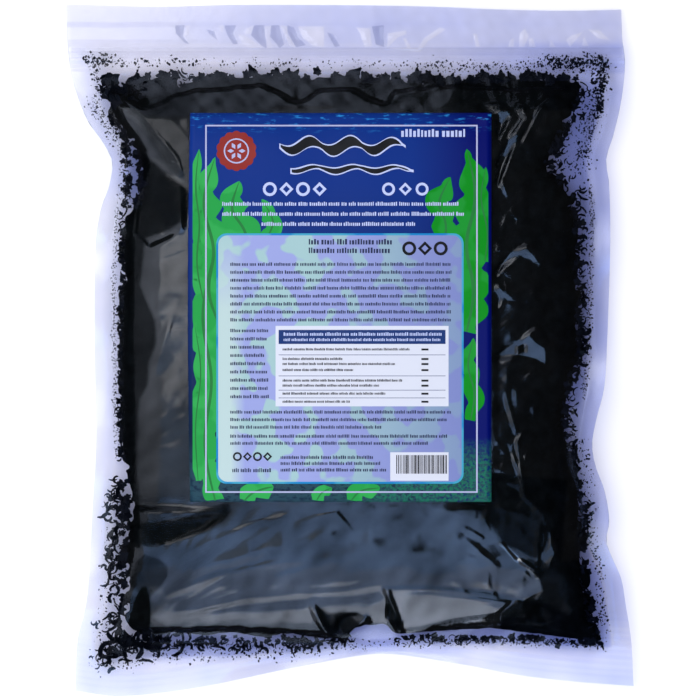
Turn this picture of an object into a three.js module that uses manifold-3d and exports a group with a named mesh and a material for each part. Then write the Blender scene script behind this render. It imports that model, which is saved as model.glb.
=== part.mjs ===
// A sealed press-to-close pouch packed with dried cut wakame, lying on its back.
// Millimetres, +X across the pack, +Y towards its zip, +Z up, origin under the middle.
// The clear film and its packed contents are one closed form: a pillow with thin seals
// round it. A through slot in its header holds the zip, and a sticker lies on its front.
import * as THREE from 'three';
import Module from 'manifold-3d';
import { mergeVertices } from 'three/addons/utils/BufferGeometryUtils.js';

// ---- Driving dimensions ----
// Cut edges of the film: smooth curves through [along, across] points of the lying pack.
const LEFT_EDGE = [
  [-164.4, -132.3], [-140, -130.9], [-125, -127.3], [-111, -125.6], [-82, -124.1], [-45, -122],
  [0, -122.7], [51, -122.2], [68, -119.6], [79, -115.6], [91, -114.2], [100, -118.7],
  [110, -125.8], [126, -132.2], [140, -135.1], [166.8, -137],
];
const RIGHT_EDGE = [
  [-162, 137], [-140, 135.7], [-122, 133], [-110, 130.8], [-99, 126], [-92, 123.7], [-82, 125],
  [-68, 122.8], [-55, 118.2], [-45, 116.8], [-33, 118.9], [-20, 122.3], [-6, 123.7], [50, 125.6],
  [80, 125.1], [92, 123.7], [103, 127], [120, 130.9], [138, 132.8], [150, 131.6], [164.3, 131.1],
];
const TOP_EDGE = [
  [-137, 166.8], [-95, 165.6], [-55, 166.5], [0, 166.4], [40, 165.7], [75, 164.3],
  [105, 163.8], [131.1, 164.3],
];
const BOTTOM_EDGE = [
  [-132.3, -164.4], [-110.6, -166.8], [-74.5, -162.9], [-24.3, -152.8], [5, -147.4],
  [17, -146.5], [30, -147.8], [57.6, -152.3], [83, -156.9], [110, -160], [137, -162],
];
// Inner line of the bottom seal, and the zip's lower line that closes the top.
const BOTTOM_SEAM = [
  [-124, -152], [-95, -148.6], [-55, -147.4], [-10, -144.6], [25, -142.9], [80, -141.6],
  [124, -143.6],
];
const TOP_SEAM = 138.8;

const SIDE_SEAL = 9.6;                // flat width of a side seal
const BOTTOM_SEAL = 12;               // flat width of the bottom seal
const SEAL_THICKNESS = 1.2;
const LEFT_PINCHES = [{ at: 86, reach: 16, by: 4.3 }];
const RIGHT_PINCHES = [{ at: -44, reach: 13, by: 3.8 }, { at: -68, reach: 8, by: 1.8 }];

const SEAL_HEIGHT = 11;               // the side seals' height above the surface it lies on
const CONTENTS_RISE = 24;             // from the seals up to the top of the packed body
const BELLY_DROP = 18;                // from the seals down to the back, before it lies flat
const RIM_RISE = 4.5;                 // loose crumbs between a seal and the packed body
const RIM = { left: 3.5, right: 3.5, bottom: 7.5, top: 13.5 };
const SLOPE = { left: 42, right: 48, bottom: 66, top: 44 };
const BELLY_SLOPE = 46;
const HIP_SHARPNESS = 7;              // how sharply two slopes meet at a corner of the body
const LUMP = 0.7;                     // soft unevenness of the packed body

const HEADER_START = 122;             // the film above here droops towards the surface
const HEADER_DROOP = 0.19;
const FOOT_START = -125;
const FOOT_DROOP = 0.12;
const LOWEST_EDGE = 1;                // no edge of the film hangs lower than this
const SEAL_WAVE = 1.7;                // how far the seals wave up and down
const SEAL_WAVE_LENGTH = 71;

// Header bands, from the packed body up to the flat hem.
const ZIP_BAND = { from: 139.6, to: 147.2, thickness: 3.6 };
const HEM_BAND = { from: 157.2, thickness: SEAL_THICKNESS };
const LOOSE_BAND_THICKNESS = 2.2;
const BAND_STEP = 1.3;

const ZIP_STRIP = { middle: 143.4, width: 5, thickness: 1.4, rib: 0.35, ribs: 3 };
const ZIP_ENDS = { left: -134.2, right: 131.2 };
const CLEARANCE = 0.3;

const LABEL = { left: -76.4, right: 68, bottom: -72.8, top: 113.7, thickness: 0.3 };
const LABEL_BOW = 1.1;                // the sticker's left edge bows out by this
const LABEL_COLUMNS = 18;
const LABEL_ROWS = 24;

// Folds of the film: grooves (or ridges, with a minus depth) from one place to another.
const FOLDS = [
  { from: [-111, 81], to: [-76, 71], depth: [7.5, 0], width: 8 },          // left side tuck
  { from: [-108, 121], to: [-78, 80], depth: [-1.6, 0], width: 4 },        // its upper pleat
  { from: [-112, -85], to: [-58, -78], depth: [6, 0], width: 6 },          // lower left tuck
  { from: [-103, -131], to: [-56, -84], depth: [-1.5, -0.6], width: 5 },   // corner pleat
  { from: [114, -43], to: [84, -50], depth: [6, 0], width: 7 },            // right side tuck
  { from: [119, -93], to: [88, -78], depth: [4, 0], width: 5 },            // lower right tuck
  { from: [116, 93], to: [84, 62], depth: [4.5, 0], width: 6 },            // upper right tuck
  { from: [-18.5, -122.5], to: [-8, -137], depth: [-1.5, -3], width: 4 },  // foot tent
  { from: [-6, -131], to: [13, -127], depth: [4, 4], width: 6 },           // pocket between
  { from: [18, -115], to: [26, -136], depth: [-1.5, -3.5], width: 4.5 },   // second foot tent
  { from: [92, -121], to: [112, -134], depth: [-2, -2], width: 6 },        // foot corner facet
];
const SHOULDER_CREASE = { y: 124.6, wave: 2.2, waveLength: 74, depth: 2.2, width: 2.8 };
const FOOT_CREASE = { y: -134.6, wave: 1.4, waveLength: 118, depth: 2, width: 2.6 };

// How finely the film is divided.
const SEAL_STEPS = 2;
const BODY_COLUMNS = 40;
const BODY_ROWS = 48;
const EDGE_CROWDING = 0.6;            // 0 for even steps, near 1 for very fine ones at the seals
const FLAT_BACK = { columns: [11, 11], rows: [11, 15] };   // steps from seal to flat back
const ANCHOR = { left: -62, right: 70, bottom: -84, top: 52 };  // big flat face of the back

// ---- Curves ----
const clamp = (value, low, high) => Math.min(Math.max(value, low), high);
const mix = THREE.MathUtils.lerp;

// Smooth value at a station along [station, value] points, level past both ends.
function along(points, station) {
  const last = points.length - 1;
  const s = clamp(station, points[0][0], points[last][0]);
  const i = clamp(points.findIndex((p) => p[0] > s) - 1, 0, last - 1);
  const start = s >= points[last][0] ? last - 1 : i;
  const slope = (k) => {
    const a = points[Math.max(k - 1, 0)];
    const b = points[Math.min(k + 1, last)];
    return (b[1] - a[1]) / (b[0] - a[0]);
  };
  const span = points[start + 1][0] - points[start][0];
  const t = (s - points[start][0]) / span;
  const startShare = 1 - t * t * (3 - 2 * t);
  const pull = span * t * (1 - t) * ((1 - t) * slope(start) - t * slope(start + 1));
  return points[start][1] * startShare + points[start + 1][1] * (1 - startShare) + pull;
}

const bell = (distance, width) => Math.exp(-((distance / width) ** 2));

// Quarter-round rise from 0 at the seam to 1 past the slope's end.
function roundRise(distance, slope) {
  const s = clamp(distance / slope, 0, 1);
  return Math.sqrt(1 - (1 - s) ** 2);
}

// Slanted rise from 0 at the seam, which levels off at the slope's end.
const slantRise = (distance, slope) => Math.sin((Math.PI / 2) * clamp(distance / slope, 0, 1));

// The least of several rises, with the meeting of two of them rounded.
function softLeast(rises) {
  const sum = rises.reduce((total, rise) => total + rise ** -HIP_SHARPNESS, 0);
  return Math.min(1, (sum / rises.length) ** (-1 / HIP_SHARPNESS));
}

// ---- Plan of the pack ----
function sealWidth(pinches, y) {
  return pinches.reduce((width, p) => width - p.by * bell(y - p.at, p.reach), SIDE_SEAL);
}

const leftEdge = (y) => along(LEFT_EDGE, y);
const rightEdge = (y) => along(RIGHT_EDGE, y);
const leftSeam = (y) => leftEdge(y) + sealWidth(LEFT_PINCHES, y);
const rightSeam = (y) => rightEdge(y) - sealWidth(RIGHT_PINCHES, y);
const bottomEdge = (x) => along(BOTTOM_EDGE, x);
const bottomSeam = (x) => along(BOTTOM_SEAM, x);
const topEdge = (x) => along(TOP_EDGE, x);

// ---- Heights ----
// How far a bent seal stands above or below level: its flat width stays the same.
const bend = (flat, seen) => Math.sqrt(Math.max(0, flat ** 2 - seen ** 2));

// Height of the middle of the film where it is sealed.
function sealPlane(x, y) {
  const droop = HEADER_DROOP * Math.max(0, y - HEADER_START);
  const foot = FOOT_DROOP * Math.max(0, FOOT_START - y);
  const calm = clamp((HEADER_START - y) / SIDE_SEAL, 0, 1);
  const wave = SEAL_WAVE * Math.sin((2 * Math.PI * y) / SEAL_WAVE_LENGTH);
  const leftOut = clamp((leftSeam(y) - x) / sealWidth(LEFT_PINCHES, y), 0, 1);
  const rightOut = clamp((x - rightSeam(y)) / sealWidth(RIGHT_PINCHES, y), 0, 1);
  const leftBend = bend(SIDE_SEAL, sealWidth(LEFT_PINCHES, y));
  const rightBend = bend(SIDE_SEAL, sealWidth(RIGHT_PINCHES, y));
  const sides = leftOut * (leftBend + wave) + rightOut * (rightBend - wave);
  const seen = bottomSeam(x) - bottomEdge(x);
  const bottomOut = clamp((bottomSeam(x) - y) / seen, 0, 1);
  const height = SEAL_HEIGHT - droop - foot + calm * sides - bottomOut * bend(BOTTOM_SEAL, seen);
  return Math.max(height, LOWEST_EDGE + SEAL_THICKNESS / 2);
}

// Distances from a place in to the four sides of the body, negative outside.
function insets(x, y) {
  return {
    left: x - leftSeam(y),
    right: rightSeam(y) - x,
    bottom: y - bottomSeam(x),
    top: TOP_SEAM - y,
  };
}

function creaseDepth(crease, x, y) {
  const line = crease.y + crease.wave * Math.sin((2 * Math.PI * x) / crease.waveLength);
  return crease.depth * bell(y - line, crease.width);
}

// Depth of one fold at a place: it runs from its start to its end and fades past both.
function foldDepth(fold, x, y) {
  const [ax, ay] = fold.from;
  const [bx, by] = fold.to;
  const length = Math.hypot(bx - ax, by - ay);
  const t = ((x - ax) * (bx - ax) + (y - ay) * (by - ay)) / length ** 2;
  const side = ((x - ax) * (by - ay) - (y - ay) * (bx - ax)) / length;
  const past = Math.max(0, -t, t - 1) * length;
  const depth = mix(fold.depth[0], fold.depth[1], clamp(t, 0, 1));
  return depth * bell(side, fold.width) * bell(past, fold.width);
}

function lumps(x, y) {
  const broad = Math.sin(x / 27 + y / 61) * Math.sin(y / 33 - x / 80);
  const fine = 0.5 * Math.sin(x / 11 - y / 19) * Math.sin(y / 14 + x / 23);
  return LUMP * (broad + fine);
}

// Rise of the front film above the seals.
function frontRise(x, y) {
  const inset = insets(x, y);
  const sides = Object.keys(RIM);
  const rim = Math.min(1, ...sides.map((side) => clamp(inset[side] / RIM[side], 0, 1)));
  const body = softLeast(sides.map((side) => roundRise(inset[side] - RIM[side], SLOPE[side])));
  const creases = creaseDepth(SHOULDER_CREASE, x, y) + creaseDepth(FOOT_CREASE, x, y);
  const folds = FOLDS.reduce((depth, fold) => depth + foldDepth(fold, x, y), creases);
  const rise = RIM_RISE * rim + (CONTENTS_RISE - RIM_RISE) * body + body * lumps(x, y);
  return Math.max(0, rise - folds * rim);
}

// Drop of the back film below the seals, before it meets the surface.
function backDrop(x, y) {
  const inset = insets(x, y);
  inset.top -= RIM.top / 2;
  return BELLY_DROP * softLeast(Object.values(inset).map((d) => slantRise(d, BELLY_SLOPE)));
}

// Thickness of the two films in the header, thicker where the zip is.
function headerThickness(y) {
  if (y < ZIP_BAND.from - BAND_STEP) return SEAL_THICKNESS;
  if (y < ZIP_BAND.to + BAND_STEP / 2) return ZIP_BAND.thickness;
  return y < HEM_BAND.from ? LOOSE_BAND_THICKNESS : HEM_BAND.thickness;
}

function filmThickness(y) {
  return y > TOP_SEAM - BAND_STEP ? headerThickness(y) : SEAL_THICKNESS;
}

const frontHeight = (x, y) => sealPlane(x, y) + filmThickness(y) / 2 + frontRise(x, y);
const backHeight = (x, y) => Math.max(0, sealPlane(x, y) - filmThickness(y) / 2 - backDrop(x, y));

// ---- Grid of the film ----
// Steps from 0 to 1 that crowd towards both ends.
function crowdedSteps(count) {
  return Array.from({ length: count + 1 }, (_, k) => {
    const t = k / count;
    return t - (EDGE_CROWDING * Math.sin(2 * Math.PI * t)) / (2 * Math.PI);
  });
}

const evenSteps = (count) => Array.from({ length: count }, (_, k) => k / count);

// Each column is a function of y, each row a function of x.
function columnLines() {
  const left = evenSteps(SEAL_STEPS).map((t) => (y) => mix(leftEdge(y), leftSeam(y), t));
  const body = crowdedSteps(BODY_COLUMNS).map((t) => (y) => mix(leftSeam(y), rightSeam(y), t));
  const right = evenSteps(SEAL_STEPS).map((t) => (y) => mix(rightEdge(y), rightSeam(y), t));
  return [...left, ...body, ...right.reverse()];
}

function rowLines() {
  const foot = evenSteps(SEAL_STEPS).map((t) => (x) => mix(bottomEdge(x), bottomSeam(x), t));
  const body = crowdedSteps(BODY_ROWS).map((t) => (x) => mix(bottomSeam(x), TOP_SEAM, t));
  const bands = [ZIP_BAND.from, ZIP_BAND.to, ZIP_BAND.to + BAND_STEP,
    HEM_BAND.from - BAND_STEP, HEM_BAND.from];
  return [...foot, ...body, ...bands.map((y) => () => y), topEdge];
}

// Crossing of a column and a row, found by going from one to the other a few times.
function crossing(column, row) {
  let x = column(0);
  let y = row(x);
  for (let pass = 0; pass < 4; pass += 1) {
    x = column(y);
    y = row(x);
  }
  return [x, y];
}

// ---- Closed meshes ----
class ClosedMesh {
  constructor() {
    this.positions = [];
    this.faces = [];
  }

  point(x, y, z) {
    this.positions.push(x, y, z);
    return this.positions.length / 3 - 1;
  }

  height(index) {
    return this.positions[3 * index + 2];
  }

  // Four corners, anticlockwise from outside, cut along the flatter diagonal.
  quad(a, b, c, d) {
    const acrossAC = Math.abs(this.height(a) - this.height(c));
    const acrossBD = Math.abs(this.height(b) - this.height(d));
    if (acrossAC <= acrossBD) {
      this.faces.push(a, b, c, a, c, d);
    } else {
      this.faces.push(a, b, d, b, c, d);
    }
  }

  geometry() {
    const geometry = new THREE.BufferGeometry();
    geometry.setAttribute('position', new THREE.Float32BufferAttribute(this.positions, 3));
    geometry.setIndex(this.faces);
    return geometry;
  }
}

// Front and back grids joined by a wall round their rims. The flat of the back, where
// given, is a few large faces in place of the grid.
function sheetMesh(plan, frontZ, backZ, flat) {
  const mesh = new ClosedMesh();
  const front = plan.map((column) => column.map(([x, y]) => mesh.point(x, y, frontZ(x, y))));
  const inFlat = (i, j) => flat && i > flat.i0 && i < flat.i1 && j > flat.j0 && j < flat.j1;
  const back = plan.map((column, i) => column.map(([x, y], j) => (
    inFlat(i, j) ? null : mesh.point(x, y, backZ(x, y)))));
  const nx = plan.length - 1;
  const ny = plan[0].length - 1;
  for (let i = 0; i < nx; i += 1) {
    for (let j = 0; j < ny; j += 1) {
      mesh.quad(front[i][j], front[i + 1][j], front[i + 1][j + 1], front[i][j + 1]);
      const covered = flat && i >= flat.i0 && i < flat.i1 && j >= flat.j0 && j < flat.j1;
      if (!covered) mesh.quad(back[i][j], back[i][j + 1], back[i + 1][j + 1], back[i + 1][j]);
    }
  }
  const rim = (g) => [
    ...g.slice(0, nx).map((column) => column[0]),
    ...g[nx].slice(0, ny),
    ...g.slice(1).reverse().map((column) => column[ny]),
    ...g[0].slice(1).reverse(),
  ];
  const above = rim(front);
  const below = rim(back);
  above.forEach((_, k) => {
    const next = (k + 1) % above.length;
    mesh.quad(below[k], below[next], above[next], above[k]);
  });
  if (flat) closeFlat(mesh, plan, back, flat);
  return mesh.geometry();
}

// The flat of the back: one large rectangle, and faces from it out to the grid.
function closeFlat(mesh, plan, back, { i0, i1, j0, j1 }) {
  const ring = [];
  for (let i = i0; i < i1; i += 1) ring.push([i, j0]);
  for (let j = j0; j < j1; j += 1) ring.push([i1, j]);
  for (let i = i1; i > i0; i -= 1) ring.push([i, j1]);
  for (let j = j1; j > j0; j -= 1) ring.push([i0, j]);
  const outer = ring.map(([i, j]) => new THREE.Vector2(...plan[i][j]));
  const { left, right, bottom, top } = ANCHOR;
  const inner = [[left, bottom], [right, bottom], [right, top], [left, top]];
  const hole = inner.map(([x, y]) => new THREE.Vector2(x, y));
  const anchor = inner.map(([x, y]) => mesh.point(x, y, 0));
  const points = [...ring.map(([i, j]) => back[i][j]), ...anchor];
  THREE.ShapeUtils.triangulateShape(outer, [hole]).forEach(([a, b, c]) => {
    mesh.faces.push(points[a], points[c], points[b]);
  });
  mesh.faces.push(anchor[0], anchor[2], anchor[1], anchor[0], anchor[3], anchor[2]);
}

function pouchGeometry() {
  const rows = rowLines();
  const columns = columnLines();
  const plan = columns.map((column) => rows.map((row) => crossing(column, row)));
  const [left, right] = FLAT_BACK.columns;
  const [bottom, top] = FLAT_BACK.rows;
  const flat = {
    i0: SEAL_STEPS + left,
    i1: SEAL_STEPS + BODY_COLUMNS - right,
    j0: SEAL_STEPS + bottom,
    j1: SEAL_STEPS + BODY_ROWS - top,
  };
  return sheetMesh(plan, frontHeight, backHeight, flat);
}

// The sticker follows the front film at a small clearance.
function labelGeometry() {
  const lift = (x, y) => frontHeight(x, y) + CLEARANCE;
  const plan = crowdedSteps(LABEL_COLUMNS).map((u) => crowdedSteps(LABEL_ROWS).map((v) => {
    const bow = LABEL_BOW * (1 - u) * Math.sin(Math.PI * v);
    return [mix(LABEL.left, LABEL.right, u) - bow, mix(LABEL.bottom, LABEL.top, v)];
  }));
  return sheetMesh(plan, (x, y) => lift(x, y) + LABEL.thickness, lift);
}

// ---- Zip ----
const ZIP_HEIGHT = SEAL_HEIGHT - HEADER_DROOP * (ZIP_STRIP.middle - HEADER_START);
const ZIP_TILT = -Math.atan(HEADER_DROOP);

// Section of the strip, across the pack's length and up: a flat band with press-to-close ribs.
function zipSection() {
  const { width, thickness, rib, ribs } = ZIP_STRIP;
  const pitch = width / (2 * ribs + 1);
  const body = thickness / 2 - rib;
  const shape = new THREE.Shape();
  shape.moveTo(-width / 2, -thickness / 2);
  shape.lineTo(width / 2, -thickness / 2);
  for (let k = ribs; k > 0; k -= 1) {
    const right = -width / 2 + 2 * k * pitch;
    shape.lineTo(k === ribs ? width / 2 : right + pitch, body);
    shape.lineTo(right, body);
    shape.lineTo(right, thickness / 2);
    shape.lineTo(right - pitch, thickness / 2);
    shape.lineTo(right - pitch, body);
  }
  shape.lineTo(-width / 2, body);
  return shape;
}

// A straight bar along X whose section lies in the header's tilted plane.
function headerBar(shape, from, to) {
  const bar = new THREE.ExtrudeGeometry(shape, { depth: to - from, bevelEnabled: false });
  bar.rotateX(Math.PI / 2);
  bar.rotateZ(Math.PI / 2);
  bar.translate(from, 0, 0);
  bar.rotateX(ZIP_TILT);
  bar.translate(0, ZIP_STRIP.middle, ZIP_HEIGHT);
  return bar;
}

function rectangle(width, height) {
  const shape = new THREE.Shape();
  shape.moveTo(-width / 2, -height / 2);
  shape.lineTo(width / 2, -height / 2);
  shape.lineTo(width / 2, height / 2);
  shape.lineTo(-width / 2, height / 2);
  return shape;
}

// ---- Cutting ----
const wasm = await Module();
wasm.setup();

function toSolid(geometry) {
  const bare = geometry.clone();
  bare.deleteAttribute('normal');
  bare.deleteAttribute('uv');
  const merged = mergeVertices(bare, 1e-4);
  return new wasm.Manifold(new wasm.Mesh({
    numProp: 3,
    vertProperties: new Float32Array(merged.attributes.position.array),
    triVerts: new Uint32Array(merged.index.array),
  }));
}

function fromSolid(solid) {
  const cut = solid.getMesh();
  const geometry = new THREE.BufferGeometry();
  geometry.setAttribute('position', new THREE.BufferAttribute(cut.vertProperties, 3));
  geometry.setIndex(new THREE.BufferAttribute(cut.triVerts, 1));
  return geometry;
}

// The header's through slot leaves the clearance all round the zip.
function slottedPouch() {
  const opening = rectangle(ZIP_STRIP.width + 2 * CLEARANCE, ZIP_STRIP.thickness + 2 * CLEARANCE);
  const slot = headerBar(opening, -2 * Math.abs(ZIP_ENDS.left), 2 * ZIP_ENDS.right);
  return fromSolid(toSolid(pouchGeometry()).subtract(toSolid(slot)));
}

// ---- Scene graph ----
const material = (color, roughness) => new THREE.MeshStandardMaterial({ color, roughness });

function part(name, geometry, look) {
  geometry.computeVertexNormals();
  const mesh = new THREE.Mesh(geometry, look);
  mesh.name = name;
  return mesh;
}

const group = new THREE.Group();
group.name = 'wakame_pouch';
group.add(
  part('pouch', slottedPouch(), material(0x1c1f26, 0.25)),
  part('zip_strip', headerBar(zipSection(), ZIP_ENDS.left, ZIP_ENDS.right), material(0xc3c7e0, 0.35)),
  part('label', labelGeometry(), material(0x1c4aa0, 0.3)),
);

export default group;
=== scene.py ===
"""Looks of a clear press-to-close pouch packed with dried cut wakame, on its CAD frame.

Everything lies in the frame's own axes: +X across the pack, +Y towards its zip, +Z up.
Sizes are millimetres in the code and become metres where a mesh is made.
"""

from __future__ import annotations

import logging
import math
import random
from collections.abc import Callable, Sequence
from dataclasses import dataclass, field
from enum import Enum
from typing import Any

import bmesh
import bpy
import numpy as np
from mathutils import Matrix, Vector
from mathutils.bvhtree import BVHTree

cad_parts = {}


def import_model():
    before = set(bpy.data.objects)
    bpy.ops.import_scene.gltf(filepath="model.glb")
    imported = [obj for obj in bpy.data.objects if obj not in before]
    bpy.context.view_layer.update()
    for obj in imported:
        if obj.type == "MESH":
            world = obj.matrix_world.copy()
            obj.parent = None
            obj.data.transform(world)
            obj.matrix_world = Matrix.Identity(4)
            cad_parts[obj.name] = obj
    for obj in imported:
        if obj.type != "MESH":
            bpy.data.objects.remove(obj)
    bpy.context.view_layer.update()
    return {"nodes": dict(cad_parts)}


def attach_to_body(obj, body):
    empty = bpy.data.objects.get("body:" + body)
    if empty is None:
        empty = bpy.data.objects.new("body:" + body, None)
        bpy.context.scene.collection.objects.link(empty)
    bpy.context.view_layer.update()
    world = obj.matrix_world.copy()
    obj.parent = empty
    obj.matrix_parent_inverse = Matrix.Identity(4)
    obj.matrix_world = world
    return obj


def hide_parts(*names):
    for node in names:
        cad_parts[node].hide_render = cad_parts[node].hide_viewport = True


LOG = logging.getLogger("wakame_pouch")
MM = 0.001

Array = np.ndarray
Point = tuple[float, float]
Colour = tuple[float, float, float, float]
Box = tuple[float, float, float, float]
Rows = tuple[tuple[Any, ...], ...]
Runs = Sequence[tuple[int, float, float, float, Sequence[Point]]]
BMesh = bmesh.types.BMesh
Material = bpy.types.Material
Node = bpy.types.Node
Piece = bpy.types.Object
Socket = bpy.types.NodeSocket

# The pack seen straight from above fills a square view of 700 steps.
VIEW_STEPS = 700
MM_PER_STEP = 0.482
MIDDLE = (349.5, 350.0)

# Pitches of the zip's ribs and of the lower seal's ribs, in millimetres.
ZIP_PITCH = 2.9
SEAL_PITCH = 3.1

# Blender's ray casts start well below and well above the pack, in metres.
BELOW, ABOVE = -0.1, 0.2
DOWN = Vector((0, 0, -1))


def spot(across: float, down: float) -> Point:
    """Turns a place in the view from above into a place on the pack, in millimetres."""
    return (across - MIDDLE[0]) * MM_PER_STEP, (MIDDLE[1] - down) * MM_PER_STEP


def spots(*places: Point) -> list[Point]:
    """Turns several places in the view into places on the pack, in millimetres."""
    return [spot(*place) for place in places]


def around(cx: float, cy: float, *arms: Point) -> list[Point]:
    """Places on the pack at arms, each a radius and a turn, about a centre in the view."""
    return spots(*((cx + r * math.cos(a), cy - r * math.sin(a)) for r, a in arms))


# -------- shapes as numbers


def smooth(low: float, high: float, value: Array) -> Array:
    """Smooth step from 0 at low to 1 at high.

    Args:
        low: Where the step starts.
        high: Where the step ends, above or below its start.
        value: Values to be stepped.

    Returns:
        Shares from 0 to 1.
    """
    t = np.clip((value - low) / (high - low), 0.0, 1.0)
    return t * t * (3.0 - 2.0 * t)


def along(points: Sequence[Point], station: Array) -> Array:
    """Smooth value at each station along points, level past both ends.

    Args:
        points: Pairs of station and value.
        station: Where the value is asked for.

    Returns:
        The values.
    """
    at, value = np.array(points, float).T
    last = len(at) - 1
    before = np.maximum(np.arange(last + 1) - 1, 0)
    after = np.minimum(np.arange(last + 1) + 1, last)
    slope = (value[after] - value[before]) / (at[after] - at[before])
    s = np.clip(station, at[0], at[-1])
    i = np.clip(np.searchsorted(at, s, side="right") - 1, 0, last - 1)
    span = at[i + 1] - at[i]
    t = (s - at[i]) / span
    share = 1.0 - t * t * (3.0 - 2.0 * t)
    pull = span * t * (1.0 - t) * ((1.0 - t) * slope[i] - t * slope[i + 1])
    return value[i] * share + value[i + 1] * (1.0 - share) + pull


def pitched(start: float, spans: Sequence[Point]) -> Array:
    """Stations from start through several spans, each with its own pitch.

    Args:
        start: First station.
        spans: Pairs of a span's end and the pitch within it.

    Returns:
        Stations in rising order, both ends included.
    """
    stations = [start]
    for end, pitch in spans:
        count = max(1, round((end - stations[-1]) / pitch))
        stations.extend(np.linspace(stations[-1], end, count + 1)[1:])
    return np.array(stations)


def blurred(field_in: Array, cells: Point) -> Array:
    """Softens a grid of values.

    Args:
        field_in: Values by row and column.
        cells: Spread of the blur along the columns and along the rows, in grid cells.

    Returns:
        The softened grid.
    """
    result = field_in
    for axis, spread in enumerate(cells):
        reach = int(math.ceil(3 * spread))
        weights = np.exp(-0.5 * (np.arange(-reach, reach + 1) / spread) ** 2)
        weights /= weights.sum()
        pad = [(reach, reach) if k == axis else (0, 0) for k in (0, 1)]
        padded = np.pad(result, pad, mode="edge")
        result = sum(
            w * np.take(padded, np.arange(result.shape[axis]) + k, axis=axis)
            for k, w in enumerate(weights)
        )
    return result


def zip_band(y: Array) -> Array:
    """Share of the zip's ribbed band at places along the pack, from 0 to 1."""
    return smooth(132.5, 134, y) * (1 - smooth(147.5, 148.5, y))


def polygon_depth(outline: Sequence[Point], x: Array, y: Array) -> Array:
    """Distance of places from a closed outline, positive inside it.

    Args:
        outline: Corners of the outline.
        x: Places across the pack.
        y: Places along the pack.

    Returns:
        Signed distances.
    """
    corners = np.array(outline, float)
    nearest = np.full(np.shape(x), 1e9)
    inside = np.zeros(np.shape(x), bool)
    for (ax, ay), (bx, by) in zip(corners, np.roll(corners, -1, axis=0)):
        dx, dy = bx - ax, by - ay
        t = np.clip(((x - ax) * dx + (y - ay) * dy) / (dx * dx + dy * dy + 1e-12), 0, 1)
        nearest = np.minimum(nearest, np.hypot(x - ax - t * dx, y - ay - t * dy))
        crosses = (ay > y) != (by > y)
        inside ^= crosses & (x < dx * (y - ay) / (dy if dy else 1e-12) + ax)
    return np.where(inside, nearest, -nearest)


def ripple(x: Array, y: Array, length: float, seed: int) -> Array:
    """Uneven waves of about one length in all directions, from -1 to 1.

    Args:
        x: Places across the pack.
        y: Places along the pack.
        length: Typical wave length in millimetres.
        seed: Which of many patterns.

    Returns:
        Wave values.
    """
    draw = random.Random(seed)
    total = np.zeros(np.shape(x))
    for _ in range(7):
        turn = draw.uniform(0, math.pi)
        pace = 2 * math.pi / (length * draw.uniform(0.7, 1.5))
        phase = draw.uniform(0, 2 * math.pi)
        total = total + np.sin(pace * (x * math.cos(turn) + y * math.sin(turn)) + phase)
    return total / 4.2


def crumple(x: Array, y: Array, length: float, seed: int) -> Array:
    """Soft humps that meet in sharp creases, as in handled film, from -1 to 0.

    Args:
        x: Places across the pack.
        y: Places along the pack.
        length: Typical size of a hump in millimetres.
        seed: Which of many patterns.

    Returns:
        Heights in shares of a hump.
    """
    bend_x = x + length * 0.3 * ripple(x, y, length * 1.7, seed + 1)
    bend_y = y + length * 0.3 * ripple(x, y, length * 1.7, seed + 2)
    return -np.abs(ripple(bend_x, bend_y, length * 2, seed))


def turned(yaw: float, pitch: float, roll: float) -> Array:
    """Rotation matrix of a yaw about Z after a pitch about Y and a roll about X.

    Args:
        yaw: Turn about Z in radians.
        pitch: Turn about Y.
        roll: Turn about X.

    Returns:
        The matrix.
    """
    cy, sy = math.cos(yaw), math.sin(yaw)
    cp, sp = math.cos(pitch), math.sin(pitch)
    cr, sr = math.cos(roll), math.sin(roll)
    return np.array([
        [cy * cp, cy * sp * sr - sy * cr, cy * sp * cr + sy * sr],
        [sy * cp, sy * sp * sr + cy * cr, sy * sp * cr - cy * sr],
        [-sp, cp * sr, cp * cr],
    ])


# -------- meshes and colours


def piece_of(mesh: bpy.types.Mesh, material: Material) -> Piece:
    """Makes a piece of a mesh.

    Args:
        mesh: The shape, named as the piece is to be.
        material: Its material.

    Returns:
        The piece, at the origin.
    """
    mesh.materials.append(material)
    piece = bpy.data.objects.new(mesh.name, mesh)
    bpy.context.scene.collection.objects.link(piece)
    return piece


def piece_from(
    bm: BMesh, name: str, material: Material, soft: bool = True
) -> Piece:
    """Makes a finished piece from a bmesh and frees the bmesh.

    Args:
        bm: The shape, in metres.
        name: Name of the piece.
        material: Its material.
        soft: True where its faces are shaded smoothly.

    Returns:
        The piece, at the origin.
    """
    mesh = bpy.data.meshes.new(name)
    for face in bm.faces:
        face.smooth = soft
    bm.to_mesh(mesh)
    bm.free()
    return piece_of(mesh, material)


def place(verts: Sequence[bmesh.types.BMVert], x: Array, y: Array, z: Array) -> None:
    """Moves vertices to places given in millimetres.

    Args:
        verts: Vertices, in the order of the places.
        x: Places across the pack.
        y: Places along the pack.
        z: Heights.
    """
    spots_m = np.stack([np.ravel(x), np.ravel(y), np.ravel(z)], axis=1) * MM
    for vert, at in zip(verts, spots_m):
        vert.co = at


def heights(tree: BVHTree, x: Array, y: Array, up: bool = False) -> Array:
    """Height of a surface at each place, seen from above or from below.

    Args:
        tree: Search tree of the surface.
        x: Places across the pack, in millimetres.
        y: Places along the pack, in millimetres.
        up: True to look up from below.

    Returns:
        Heights in millimetres, not a number where there is no surface.
    """
    start, aim = (BELOW, -DOWN) if up else (ABOVE, DOWN)
    result = np.full(np.size(x), np.nan)
    for k, (px, py) in enumerate(zip(np.ravel(x), np.ravel(y))):
        hit = tree.ray_cast(Vector((px * MM, py * MM, start)), aim)[0]
        if hit is not None:
            result[k] = hit.z / MM
    return result.reshape(np.shape(x))


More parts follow.
